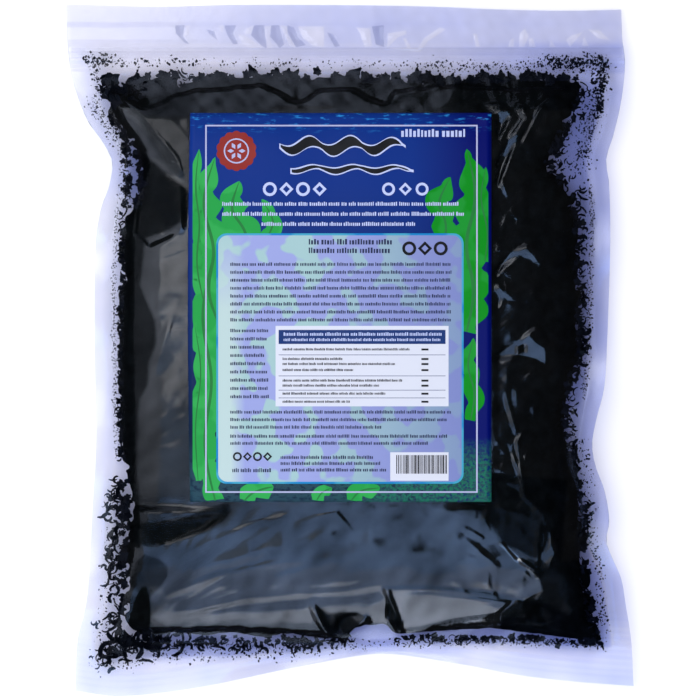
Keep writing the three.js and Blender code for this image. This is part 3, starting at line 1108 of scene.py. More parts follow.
    def shape(self, x: Array, y: Array, z: Array, inset: Array) -> Array:
        """Front film heights with every fold, patch and crease.

        Args:
            x: Places across the pack, by row and column.
            y: Places along the pack.
            z: Smooth heights.
            inset: Distance inside the nearest seam.

        Returns:
            The crumpled heights.
        """
        x0, x1, y0, y1 = self.sticker
        past = np.maximum.reduce([x0 - x, x - x1, y0 - y, y - y1])
        free = smooth(0.6, 4.0, past)
        body = smooth(0.0, 5.0, inset)
        right = smooth(62, 80, x)
        waves = 0.22 * ripple(x, y, 34, 5) + 0.3 * (1 + right) * crumple(x, y, 19, 6)
        waves += (0.07 + 0.15 * right) * crumple(x, y, 8, 9)
        px, py = spot(150, 625)
        away, turn = np.hypot(x - px, y - py), np.arctan2(y - py, x - px)
        foot = smooth(-72, -80, y) * smooth(-134, -126, y)
        waves += 0.24 * foot * ripple(90 * turn, 0.2 * away, 13, 12) * smooth(10, 60, away)
        crumpled = z
        for *heights_over, crease in self.listed(self.brows, 4):
            crumpled = Brow(crease, *heights_over).apply(x, y, crumpled)
        crumpled = crumpled + body * waves
        folds = [Fold(path, *sizes) for *sizes, path in self.listed(self.folds, 4)]
        for fold in folds + self.crinkles():
            crumpled = crumpled + fold.rise(x, y) * smooth(-0.5, 2.5, inset)
        for *sizes, outline in self.listed(self.facets, 3):
            crumpled = Facet(outline, *sizes).apply(x, y, crumpled)
        crumpled = crumpled + 0.25 * zip_band(y) * np.sin(2 * math.pi * y / ZIP_PITCH)
        for outline, amount in self.gathers_and_shade():
            hollow = smooth(0.0, 2.2, polygon_depth(outline, x, y))
            crumpled = crumpled - 0.45 * amount * hollow
        return z + free * (crumpled - z)


# -------- the film


@dataclass
class FilmPouch:
    """Front and back film of the pouch, sealed all round."""

    form: PackForm
    relief: FilmRelief
    columns: tuple[Point, ...] = ((-76, 0.92), (62, 1.25), (137, 0.78))
    rows: tuple[Point, ...] = ((-72, 1.0), (112, 1.2), (166.8, 0.85))
    back_steps: tuple[int, int] = (60, 72)
    half_width: float = 137.0
    half_length: float = 166.8
    header_from: float = 138.0
    header_shares: Point = (2.0, 0.0)
    front_blur: float = 4.5
    back_blur: float = 1.0
    under_shade_share: float = 0.35
    highlight_share: float = 0.55
    cut_near: float = 0.8
    front: BVHTree = field(init=False)
    back: BVHTree = field(init=False)

    def density(self, x: Array, y: Array, z: Array, inset: Array, header_share: float) -> Array:
        """How strongly the film tints, with painted shade: more to the right, across the header towards
        its right, under the body's lower end and in a bay at the left.

        Args:
            x: Places across the pack, by row and column.
            y: Places along the pack.
            z: Heights of the sheet.
            inset: Distance inside the nearest seam.
            header_share: How much of the header's tint this sheet carries.

        Returns:
            Shares from 0, clear, to 1, densest.
        """
        header = smooth(118, 141, y)
        # Painted shade: the film darkens towards the right, where the body shades the table under it,
        # and most in the strip beside the right seal.
        body = 0.58 * smooth(35, 116, x) * (1 - 0.3 * smooth(-60, -130, y))
        body += 0.16 * smooth(60, 110, y) * smooth(-90, -112, x)
        body += 0.42 * smooth(84, 108, x) * smooth(-0.5, 1.0, inset) * smooth(22, 12, inset)
        body *= 1 - 0.6 * smooth(-128, -135, y) * smooth(0.5, -1.0, inset) * smooth(128, 118, x)
        # Painted shade under the body's lower end.
        body += 0.5 * self.shaded(x, y, inset)
        # Painted shade in the bay at the left, where the mass shades the table.
        bay = spots((126, 145), (146, 150), (147, 196), (134, 206), (122, 190))
        body += 0.8 * smooth(-2.0, 2.5, polygon_depth(bay, x, y))
        # The header's tint: doubled film, with painted shade that rises towards the right.
        hem = along(((-125, 0.0), (-60, 0.13), (0, 0.26), (100, 0.24)), x)
        value = body + header * (header_share * hem - body)
        slope = np.hypot(np.gradient(z, axis=0) / np.gradient(y, axis=0),
                         np.gradient(z, axis=1) / np.gradient(x, axis=1))
        value += 0.25 * smooth(0.35, 1.3, slope) * (1 - header)
        value += 0.03 * (ripple(x, y, 26, 21) + ripple(x, y, 8, 22))
        value += 0.24 * (crumple(x, y, 20, 24) + 0.4) * smooth(1.0, -1.0, inset) * (1 - header)
        value -= 0.3 * smooth(-1.4, -0.5, inset) * smooth(0.7, -0.2, inset) * smooth(134, 126, y)
        low = y - along(self.form.bottom_edge, x)
        ribs = smooth(1.0, 2.5, low) * smooth(0.5, -1.0, inset) * smooth(-120, -132, y)
        value += 0.12 * ribs * np.sin(2 * math.pi * low / SEAL_PITCH)
        bands = zip_band(y)
        value += 0.12 * bands * np.sin(2 * math.pi * y / ZIP_PITCH + 0.6 * ripple(x, y, 60, 23))
        # Painted shade: the zip band darkens towards the right.
        value += bands * (0.42 * smooth(30, 100, x) - 0.12)
        value += 0.08 * smooth(156.2, 156.9, y) * smooth(158.3, 157.6, y)
        return np.clip(value, 0.0, 1.0)

    def shaded(self, x: Array, y: Array, inset: Array) -> Array:
        """How much painted shade the film carries under the body's lower end, from 0 to 1."""
        low = smooth(-126, -134, y) * smooth(-1.0, 1.0, inset)
        return low * smooth(-108, -80, x) * smooth(116, 104, x)

    def sheen(self, x: Array, y: Array) -> Array:
        """How strongly the film mirrors: cloudy, with painted sheen that dulls it where it is to look
        dark and raises it where it is to glint.

        Args:
            x: Places across the pack, by row and column.
            y: Places along the pack.

        Returns:
            Shares of the plain film's mirroring.
        """
        value = 1.0 + 0.3 * ripple(x, y, 30, 25) + 0.2 * ripple(x, y, 11, 26)
        value += 0.45 * smooth(110, 116, y) * ripple(x, y, 6, 27)
        # Painted sheen: the left side mirrors more above and less below.
        value += (0.45 * smooth(-40, 0, y) - 0.25) * smooth(-70, -80, x)
        for amount, edge, outline in self.relief.listed(self.relief.painted_sheen, 2):
            share = smooth(-edge / 2, edge / 2, polygon_depth(outline, x, y))
            value = value * (1 + (amount - 1) * share)
        return np.maximum(value, 0.05)

    def sharpen(self, bm: BMesh, tint: Any, painted_shade: Any) -> None:
        """Cuts the front's header finer round each dent, and gives the dents crisp edges of painted
        shade and painted highlight.

        Args:
            bm: Both sheets, not yet closed.
            tint: The layer that holds the tint, lowered as painted highlight on the light dents.
            painted_shade: The layer that holds the painted shade of the dark dents.
        """
        gathers_and_shade = self.relief.gathers_and_shade()
        start = self.header_from * MM
        header = [face for face in bm.faces if face.calc_center_median().y > start]
        mids = np.array([face.calc_center_median() for face in header]) / MM
        near = np.min([np.abs(polygon_depth(line, mids[:, 0], mids[:, 1])) for line, _ in gathers_and_shade],
                      axis=0)
        cut = {edge for face, gap in zip(header, near) if gap < self.cut_near and face.normal.z > 0
               for edge in face.edges if not edge.is_boundary}
        bmesh.ops.subdivide_edges(bm, edges=list(cut), cuts=2, use_grid_fill=True)
        verts = [vert for vert in bm.verts if vert.co.y > start and not vert.is_boundary
                 and vert.link_faces[0].normal.z > 0]
        at = np.array([vert.co for vert in verts]) / MM
        extra = np.zeros(len(verts))
        for outline, amount in gathers_and_shade:
            extra += amount * smooth(-0.2, 0.2, polygon_depth(outline, at[:, 0], at[:, 1]))
        # Dark dents get painted shade, light ones a lower tint as painted highlight.
        for vert, more in zip(verts, extra):
            vert[tint] = max(vert[tint] + self.highlight_share * min(more, 0.0), 0.0)
            vert[painted_shade] = min(max(more, 0.0), 1.0)

    def sheet(
        self, bm: BMesh, at: Sequence[Array], layers: Sequence[Any] = (), shares: Sequence[Array] = ()
    ) -> list[bmesh.types.BMVert]:
        """Adds one sheet of film.

        Args:
            bm: What it is added to.
            at: Its places across and along the pack and its heights, by row and column.
            layers: Layers that hold its tint with painted shade, its painted sheen and its painted
                shade under the body.
            shares: Its tint and its sheen.

        Returns:
            Its vertices.
        """
        x, y, z = at
        rows, columns = x.shape
        grid = bmesh.ops.create_grid(bm, x_segments=columns - 1, y_segments=rows - 1, size=1)
        place(grid["verts"], x, y, z)
        if layers:
            # Painted shade under the body's lower end, on both sheets.
            gathers_and_shade = self.under_shade_share * self.shaded(x, y, self.form.inset(x, y))
            for layer, values in zip(layers, (*shares, gathers_and_shade)):
                for vert, value in zip(grid["verts"], np.ravel(values)):
                    vert[layer] = value
        return grid["verts"]

    def build(self, finish: ClearFilm) -> Piece:
        """Makes both sheets and closes them round the rim.

        Args:
            finish: The film's finish.

        Returns:
            The pouch.
        """
        bm = bmesh.new()
        layers = [bm.verts.layers.float.new(f"film_{name}") for name in ("density", "sheen", "painted_shade")]
        u, v = (
            (pitched(-half, spans) + half) / (2 * half)
            for half, spans in ((self.half_width, self.columns), (self.half_length, self.rows))
        )
        x, y = self.form.plan(u, v)
        inset = self.form.inset(x, y)
        z = self.relief.shape(x, y, self.form.films(x, y, self.front_blur)[0], inset)
        tint = self.density(x, y, z, inset, self.header_shares[0])
        self.sheet(bm, (x, y, z), layers, (tint, self.sheen(x, y)))
        self.front = BVHTree.FromBMesh(bm)

        x, y = self.form.plan(*(np.linspace(0, 1, steps + 1) for steps in self.back_steps))
        z = self.form.films(x, y, self.back_blur)[1]
        sole = bmesh.new()
        self.sheet(sole, (x, y, z))
        self.back = BVHTree.FromBMesh(sole)
        sole.free()
        tint = self.density(x, y, z, self.form.inset(x, y), self.header_shares[1])
        under = self.sheet(bm, (x, y, z), layers, (tint, np.ones(x.shape)))
        bmesh.ops.reverse_faces(bm, faces=list({face for vert in under for face in vert.link_faces}))
        bm.normal_update()

        self.sharpen(bm, layers[0], layers[2])
        rim = [edge for edge in bm.edges if edge.is_boundary]
        for edge in rim:
            edge.smooth = False
        bmesh.ops.bridge_loops(bm, edges=rim)
        bmesh.ops.recalc_face_normals(bm, faces=bm.faces)
        return piece_from(bm, "film_pouch", finish.build())

    def room(self, x: Array, y: Array) -> tuple[Array, Array]:
        """Heights of the front and back film at places, in millimetres."""
        return heights(self.front, x, y), heights(self.back, x, y)


# -------- the contents


@dataclass
class WakameBed:
    """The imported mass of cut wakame, with overlapping shreds as relief on its top."""

    film: FilmPouch
    pitch: float = 1.25
    shreds: int = 5200
    seed: int = 41
    across: Point = (-118.0, 124.0)
    up: Point = (-150.0, 136.0)
    # Its outline in the view from above.
    rim: tuple[Point, ...] = (
        (108, 112), (114, 124), (126, 136), (138, 150), (141, 166), (141, 188), (137, 202), (128, 213),
        (121, 232), (121, 262), (127, 277), (121, 289), (119, 330), (119, 400), (121, 450), (126, 470),
        (131, 490), (135, 512), (129, 527), (127, 545), (124, 560), (131, 574), (127, 598), (126, 618),
        (131, 628), (140, 634), (158, 635), (178, 631), (205, 636), (230, 632), (262, 637), (290, 633),
        (326, 639), (348, 636), (358, 626), (385, 624), (396, 634), (440, 631), (490, 628), (540, 634),
        (590, 641), (603, 641), (596, 625), (588, 617), (590, 600), (588, 590), (592, 573), (578, 556),
        (588, 540), (580, 520), (578, 500), (580, 470), (567, 440), (563, 410), (570, 380), (579, 350),
        (576, 318), (583, 300), (575, 270), (578, 235), (570, 205), (580, 193), (562, 190), (564, 178),
        (545, 170), (549, 158), (561, 138), (565, 120), (578, 105), (582, 86), (572, 80), (556, 80),
        (548, 82), (530, 76), (515, 81), (500, 78), (480, 82), (455, 81), (430, 82), (400, 81),
        (375, 78), (345, 77), (320, 78), (300, 79), (283, 76), (262, 74), (245, 78), (222, 76),
        (205, 77), (192, 80), (180, 86), (172, 75), (155, 76), (140, 82), (128, 90), (118, 98),
    )

    def relief(self, x: Array, y: Array) -> Array:
        """Depth below the film of a bed of overlapping flat shreds.

        Args:
            x: Places across the pack, by row and column.
            y: Places along the pack.

        Returns:
            Depths in millimetres.
        """
        draw = np.random.default_rng(self.seed)
        top = np.full(x.shape, -2.6)
        step = self.pitch
        rows, cols = x.shape
        for _ in range(self.shreds):
            j, i = draw.integers(0, rows), draw.integers(0, cols)
            length, width = draw.uniform(3, 8), draw.uniform(1.2, 2.8)
            turn = draw.uniform(0, math.pi)
            reach = int(length / step) + 1
            at = np.s_[max(0, j - reach) : j + reach + 1, max(0, i - reach) : i + reach + 1]
            dx, dy = x[at] - x[j, i], y[at] - y[j, i]
            a = (dx * math.cos(turn) + dy * math.sin(turn)) / length
            b = (dy * math.cos(turn) - dx * math.sin(turn)) / width
            lean, curl = draw.uniform(-0.9, 0.9, 2)
            level = draw.uniform(-2.2, -0.3) + lean * a + curl * (b * b - 0.3)
            inside = (np.abs(a) ** 3 + np.abs(b) ** 3) < 1
            top[at] = np.where(inside, np.maximum(top[at], np.minimum(level, 0.0)), top[at])
        return -top

    def soften_rim(self, bm: BMesh) -> None:
        """Evens out the steps that the grid leaves in the rim, in plan only.

        Args:
            bm: The top of the mass.
        """
        for _ in range(2):
            moves = {}
            for vert in bm.verts:
                beside = [e.other_vert(vert).co for e in vert.link_edges if e.is_boundary]
                if len(beside) == 2:
                    moves[vert] = (beside[0] + beside[1]) / 2
            for vert, aim in moves.items():
                vert.co.x += 0.5 * (aim.x - vert.co.x)
                vert.co.y += 0.5 * (aim.y - vert.co.y)

    def build(self, finish: DriedSeaweed) -> Piece:
        """Makes the mass between the films.

        Args:
            finish: Finish of the wakame.

        Returns:
            The bed.
        """
        xs, ys = (np.arange(*ends, self.pitch) for ends in (self.across, self.up))
        x, y = np.meshgrid(xs, ys)
        warp = 1.5 - 1.2 * smooth(-128, -134, y)
        wx = x + warp * ripple(x, y, 5.5, 31) + warp * ripple(x, y, 2.9, 33)
        wy = y + warp * ripple(x, y, 5.0, 32) + warp * ripple(x, y, 2.7, 34)
        depth = polygon_depth(spots(*self.rim), wx, wy)
        front, back = self.film.room(x, y)
        front = np.where(np.isnan(front), 6.0, front)
        back = np.where(np.isnan(back), 5.0, back)
        middle = (front + back) / 2
        swell = np.sqrt(smooth(-1.0, 5.0, depth))
        top = front - 0.5 - self.relief(x, y)
        top = np.minimum(middle + 0.3 + swell * np.maximum(top - middle, 0.0), front - 0.4)
        low = middle - 0.3 - swell * np.maximum(middle - back - 0.8, 0.0)
        low = np.minimum(np.maximum(low, back + 0.3), top - 0.15)

        slope_y, slope_x = np.gradient(depth, self.pitch)
        steep = np.maximum(np.hypot(slope_x, slope_y), 0.6) ** 2
        near = np.where(np.abs(depth) < 0.75, depth, 0.0) / steep
        x, y = x - near * slope_x, y - near * slope_y

        bm = bmesh.new()
        grid = bmesh.ops.create_grid(bm, x_segments=len(xs) - 1, y_segments=len(ys) - 1, size=1)
        place(grid["verts"], x, y, top)
        floor = dict(zip(grid["verts"], np.ravel(low)))
        outside = [vert for vert, d in zip(grid["verts"], np.ravel(depth)) if d < -0.8]
        for _ in range(2):
            for vert in outside:
                del floor[vert]
            bmesh.ops.delete(bm, geom=outside, context="VERTS")
            outside = [vert for vert in bm.verts if not vert.link_faces]
        self.soften_rim(bm)
        sinks = {(round(vert.co.x, 6), round(vert.co.y, 6)): z for vert, z in floor.items()}
        grown = bmesh.ops.extrude_face_region(bm, geom=list(bm.faces))
        for item in grown["geom"]:
            if isinstance(item, bmesh.types.BMVert):
                item.co.z = sinks[(round(item.co.x, 6), round(item.co.y, 6))] * MM
        bmesh.ops.recalc_face_normals(bm, faces=bm.faces)
        return piece_from(bm, "wakame_bed", finish.build())


@dataclass
class Shred:
    """Template of one kind of loose shred or crumb, one millimetre long."""

    points: Array
    faces: Array


@dataclass
class LooseWakame:
    """Curled shreds, flat flakes and crumbs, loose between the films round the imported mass."""

    film: FilmPouch
    seed: int = 71
    # How many pieces, their spread, smallest and largest size, and their path in the view.
    # Curled shreds lie in the corners and along the mass's sides and foot.
    curl_runs: Runs = (
        (60, 1.6, 2.5, 7.0, ((112, 96), (140, 90), (160, 80), (190, 78))),
        (16, 1.6, 7.0, 12.0, ((107, 74), (112, 98), (150, 90), (185, 80))),
        (50, 1.2, 2.5, 6.0, ((112, 118), (124, 140), (130, 156), (128, 186), (124, 214))),
        (90, 0.9, 2.0, 5.5, ((123, 214), (121, 300), (120, 400), (122, 460))),
        (110, 2.6, 4.0, 9.0, ((120, 474), (113, 504), (118, 530), (110, 560), (118, 590), (108, 622),
         (112, 640))),
        (60, 2.6, 3.0, 9.0, ((97, 664), (112, 652), (126, 640), (150, 646))),
        (34, 3.0, 7.0, 13.0, ((104, 656), (122, 642), (150, 640), (190, 643))),
        (170, 1.7, 2.4, 7.0, ((120, 648), (200, 646), (280, 646), (352, 642))),
        (120, 0.9, 1.8, 4.5, ((396, 642), (450, 641), (520, 640), (606, 644))),
        (110, 1.6, 2.2, 6.0, ((594, 640), (586, 600), (580, 556), (584, 520), (578, 470), (568, 430))),
        (170, 1.4, 2.6, 7.0, ((570, 430), (568, 400), (583, 350), (583, 300), (581, 240), (577, 205),
         (582, 190))),
        (70, 2.6, 2.0, 6.0, ((566, 186), (556, 165), (566, 130), (580, 104), (594, 76))),
    )
    # Ragged flat flakes lie along the mass's edge.
    flake_runs: Runs = (
        (150, 1.2, 3.0, 8.5, ((120, 92), (150, 78), (172, 75), (200, 77), (262, 74), (300, 79),
         (345, 77), (400, 80), (460, 82), (530, 78), (580, 81))),
        (26, 1.6, 4.0, 9.0, ((110, 78), (112, 96), (124, 104), (140, 92), (158, 84))),
        (40, 1.0, 2.2, 5.0, ((108, 112), (124, 136), (128, 160), (126, 186), (124, 214))),
        (44, 1.1, 2.5, 6.0, ((137, 146), (141, 160), (142, 178), (141, 194), (136, 206))),
        (80, 0.7, 2.0, 4.5, ((124, 232), (122, 300), (121, 400), (123, 460))),
        (40, 1.4, 3.0, 7.0, ((124, 480), (124, 512), (123, 540), (122, 570), (126, 592), (122, 618))),
        (60, 1.2, 2.2, 5.0, ((130, 640), (200, 640), (330, 641), (352, 638))),
        (60, 0.7, 2.0, 4.5, ((396, 638), (450, 638), (520, 637), (606, 643))),
        (70, 1.1, 2.2, 5.5, ((594, 634), (588, 590), (582, 556), (586, 530), (578, 490), (572, 450))),
        (130, 0.9, 1.8, 4.5, ((566, 440), (564, 400), (578, 350), (578, 300), (576, 240), (572, 205),
         (576, 193))),
        (50, 1.6, 2.0, 5.5, ((560, 186), (549, 165), (563, 130), (574, 104), (580, 84))),
    )
    # Fine crumbs lie in the rim, thickest in the upper corners.
    crumb_runs: Runs = (
        (90, 1.6, 0.5, 1.9, ((86, 60), (100, 60), (118, 62))),
        (70, 2.0, 0.5, 1.6, ((94, 62), (98, 80), (102, 98))),
        (170, 2.0, 0.4, 1.2, ((94, 100), (100, 114), (112, 128), (118, 140))),
        (60, 0.9, 0.4, 1.0, ((119, 140), (121, 160), (123, 182), (120, 200))),
        (330, 0.7, 0.4, 1.0, ((118, 205), (114, 260), (114, 330), (115, 400), (117, 461))),
        (150, 2.2, 0.4, 1.4, ((114, 490), (110, 546), (108, 600), (98, 640), (95, 668))),
        (60, 1.4, 0.5, 2.0, ((120, 62), (200, 62))),
        (190, 1.3, 0.35, 1.1, ((200, 63), (330, 64), (450, 64))),
        (240, 1.6, 0.4, 1.2, ((430, 66), (500, 66), (545, 64))),
        (420, 2.2, 0.4, 1.7, ((545, 62), (570, 64), (606, 62))),
        (200, 1.4, 0.6, 2.0, ((605, 60), (601, 90), (597, 115))),
        (260, 3.4, 0.4, 1.5, ((596, 100), (584, 130), (580, 170))),
        (90, 1.0, 0.4, 1.2, ((597, 115), (590, 133), (586, 155))),
        (300, 0.8, 0.4, 1.1, ((590, 185), (592, 205), (591, 255), (590, 315), (583, 400))),
        (260, 1.6, 0.4, 1.4, ((580, 438), (590, 490), (590, 520), (599, 572), (604, 640))),
        (240, 1.9, 0.4, 1.5, ((92, 668), (150, 658), (230, 655), (330, 650))),
        (240, 1.2, 0.4, 1.2, ((330, 648), (400, 644), (520, 642), (606, 646))),
    )

    def curled(self, draw: random.Random) -> Shred:
        """Makes one curled, torn shred from a bent and thickened strip.

        Args:
            draw: Source of chance.

        Returns:
            The shred.
        """
        bm = bmesh.new()
        strip = bmesh.ops.create_grid(bm, x_segments=6, y_segments=2, size=1)["verts"]
        width = draw.uniform(0.16, 0.36)
        arc = draw.uniform(0.8, 4.2)
        lean = draw.uniform(0.5, 1.3)
        twist = draw.uniform(-0.6, 0.6)
        for vert in strip:
            s, t = vert.co.x, vert.co.y
            taper = 1 - 0.6 * abs(s) ** 3 + draw.uniform(-0.2, 0.2)
            across = t * width * taper * 0.5
            angle = s * arc / 2
            reach = 1 / arc + across * math.sin(lean + twist * s)
            vert.co = Vector((
                reach * math.sin(angle),
                1 / arc - reach * math.cos(angle),
                across * math.cos(lean + twist * s) + 0.08 * s,
            ))
        bmesh.ops.solidify(bm, geom=list(bm.faces), thickness=draw.uniform(0.05, 0.08))
        bmesh.ops.recalc_face_normals(bm, faces=bm.faces)
        return self.template(bm)

    def flake(self, draw: random.Random) -> Shred:
        """Makes one flat torn piece of frond, with ragged lobes and a curling rim.

        Args:
            draw: Source of chance.

        Returns:
            The shred.
        """
        bm = bmesh.new()
        bmesh.ops.create_circle(bm, cap_ends=True, cap_tris=True, segments=18, radius=0.5)
        lobes, phase = draw.randint(3, 5), draw.uniform(0, 6)
        width, curl, cup = draw.uniform(0.45, 0.85), draw.uniform(-0.6, 0.6), draw.uniform(-0.8, 0.8)
        for vert in bm.verts:
            turn = math.atan2(vert.co.y, vert.co.x)
            reach = 1 + 0.23 * math.sin(lobes * turn + phase) + draw.uniform(-0.06, 0.06)
            vert.co.x *= reach
            vert.co.y *= reach * width
            vert.co.z = curl * vert.co.x**2 + cup * vert.co.y**2 + draw.uniform(-0.03, 0.03)
        bmesh.ops.solidify(bm, geom=list(bm.faces), thickness=0.05)
        bmesh.ops.recalc_face_normals(bm, faces=bm.faces)
        return self.template(bm)

    def crumb(self, draw: random.Random) -> Shred:
        """Makes one angular crumb from a squashed block.

        Args:
            draw: Source of chance.

        Returns:
            The crumb.
        """
        bm = bmesh.new()
        bmesh.ops.create_cube(bm, size=1.0)
        squash = Vector((1.0, draw.uniform(0.4, 0.8), draw.uniform(0.25, 0.6)))
        for vert in bm.verts:
            vert.co = Vector(c * s * draw.uniform(0.55, 1.1) for c, s in zip(vert.co, squash))
        return self.template(bm)

    def template(self, bm: BMesh) -> Shred:
        """Takes the points and triangles of a bmesh and frees it.

        Args:
            bm: One shred, one millimetre long.

        Returns:
            Its template.
        """
        bmesh.ops.triangulate(bm, faces=bm.faces)
        bm.verts.index_update()
        points = np.array([vert.co for vert in bm.verts])
        faces = np.array([[vert.index for vert in face.verts] for face in bm.faces])
        bm.free()
        return Shred(points - points.mean(0), faces)

    def joined(
        self, name: str, kinds: Sequence[Shred], places: Array, sizes: Array, tilt: float,
        material: Material,
    ) -> Piece:
        """Joins many turned copies of a few templates into one piece.

        Args:
            name: Name of the piece.
            kinds: Templates, used in turn.
            places: Places across and along, one row for each copy.
            sizes: Lengths of the copies in millimetres.
            tilt: How far copies lean out of the film's plane, in radians.
            material: Their material.

        Returns:
            The piece.
        """
        draw = np.random.default_rng(self.seed + len(places))
        front, back = self.film.room(places[:, 0], places[:, 1])
        held = ~(np.isnan(front) | np.isnan(back))
        places, sizes, front, back = places[held], sizes[held], front[held], back[held]
        all_points, all_faces, start = [], [], 0
        for k, ((px, py), size, high, low) in enumerate(zip(places, sizes, front, back)):
            kind = kinds[k % len(kinds)]
            yaw, pitch, roll = draw.uniform(0, 2 * math.pi), *draw.normal(0, tilt, 2)
            points = kind.points @ turned(yaw, pitch, roll).T * size
            half = np.abs(points[:, 2]).max()
            room = max(high - low - 0.5, 0.2)
            points[:, 2] *= min(1.0, room / (2 * half + 1e-9))
            half = np.abs(points[:, 2]).max()
            level = high - 0.25 - half - draw.uniform(0, 1) ** 2 * max(room - 2 * half, 0.0)
            all_points.append(points + (px, py, level))
            all_faces.append(kind.faces + start)
            start += len(points)
        mesh = bpy.data.meshes.new(name)
        mesh.from_pydata(np.concatenate(all_points) * MM, [], np.concatenate(all_faces))
        return piece_of(mesh, material)

    def near(self, path: list[Point], count: int, spread: float, draw: random.Random) -> list[Point]:
        """Places scattered about a path.

        Args:
            path: Corners of the path.
            count: How many places.
            spread: Typical distance from the path, in millimetres.
            draw: Source of chance.

        Returns:
            The places.
        """
        lengths = [math.dist(a, b) for a, b in zip(path, path[1:])]
        made = []
        for _ in range(count):
            at = draw.uniform(0, sum(lengths))
            k = 0
            while k < len(lengths) - 1 and at > lengths[k]:
                at -= lengths[k]
                k += 1
            (ax, ay), (bx, by) = path[k], path[k + 1]
            t = at / lengths[k]
            made.append((
                ax + t * (bx - ax) + draw.gauss(0, spread),
                ay + t * (by - ay) + draw.gauss(0, spread),
            ))
        return made

    def scattered(self, runs: Runs, draw: random.Random) -> tuple[Array, Array]:
        """Places and sizes of pieces scattered along several runs.

        Args:
            runs: The runs of one kind.
            draw: Source of chance.

        Returns:
            Places, one row for each, and sizes.
        """
        places: list[Point] = []
        sizes: list[float] = []
        for count, spread, small, large, path in runs:
            places += self.near(spots(*path), count, spread, draw)
            sizes += [small + (large - small) * draw.random() ** 1.7 for _ in range(count)]
        return np.array(places), np.array(sizes)

    def strewn(
        self, name: str, make: Callable[[random.Random], Shred], number: int, kinds: int,
        tilt: float, material: Material, runs: Runs,
    ) -> Piece:
        """Draws the templates of one kind and strews them along runs.

        Args:
            name: Name of the piece.
            make: Makes one template.
            number: Number of the kind, which sets its draw.
            kinds: How many templates.
            tilt: How far copies lean out of the film's plane, in radians.
            material: Their material.
            runs: Their runs.

        Returns:
            The piece.
        """
        draw = random.Random(self.seed + number)
        templates = [make(draw) for _ in range(kinds)]
        return self.joined(name, templates, *self.scattered(runs, draw), tilt, material)

    def build(self, material: Material) -> list[Piece]:
        """Strews every kind.

        Args:
            material: Their material.

        Returns:
            The pieces.
        """
        return [
            self.strewn("wakame_curls", self.curled, 2, 12, 0.25, material, self.curl_runs),
            self.strewn("wakame_flakes", self.flake, 0, 12, 0.3, material, self.flake_runs),
            self.strewn("wakame_crumbs", self.crumb, 1, 10, 0.6, material, self.crumb_runs),
        ]


# -------- the sticker


@dataclass
class Sticker:
    """Printed paper sticker that follows the front film."""

    film: FilmPouch
    left: float = -76.4
    right: float = 68.0
    bottom: float = -72.8
    top: float = 113.7
    bow: float = 1.1
    steps: tuple[int, int] = (58, 75)
    lift: float = 0.12
    thickness: float = 0.28
    layer_step: float = 0.035
    about: float = 35.0
    surface: BVHTree = field(init=False)

    def sheet(self, finish: PrintedSticker) -> Piece:
        """Makes the paper, a closed thin sheet on the film.

        Args:
            finish: Finish of the printed paper.

        Returns:
            The sticker.
        """
        bm = bmesh.new()
        nx, ny = self.steps
        u, v = np.meshgrid(np.linspace(0, 1, nx + 1), np.linspace(0, 1, ny + 1))
        x = self.left + u * (self.right - self.left) - self.bow * (1 - u) * np.sin(np.pi * v)
        y = self.bottom + v * (self.top - self.bottom)
        z = heights(self.film.front, x, y) + self.lift + self.thickness
        corner = smooth(0.93, 1.0, u) * smooth(0.95, 1.0, v)
        z = blurred(z, (1.2, 1.2)) + 1.2 * corner
        grid = bmesh.ops.create_grid(bm, x_segments=nx, y_segments=ny, size=1)
        place(grid["verts"], x, y, z)
        self.surface = BVHTree.FromBMesh(bm)
        bmesh.ops.solidify(bm, geom=list(bm.faces), thickness=self.thickness * MM)
        bmesh.ops.recalc_face_normals(bm, faces=bm.faces)
        return piece_from(bm, "sticker_paper", finish.build())


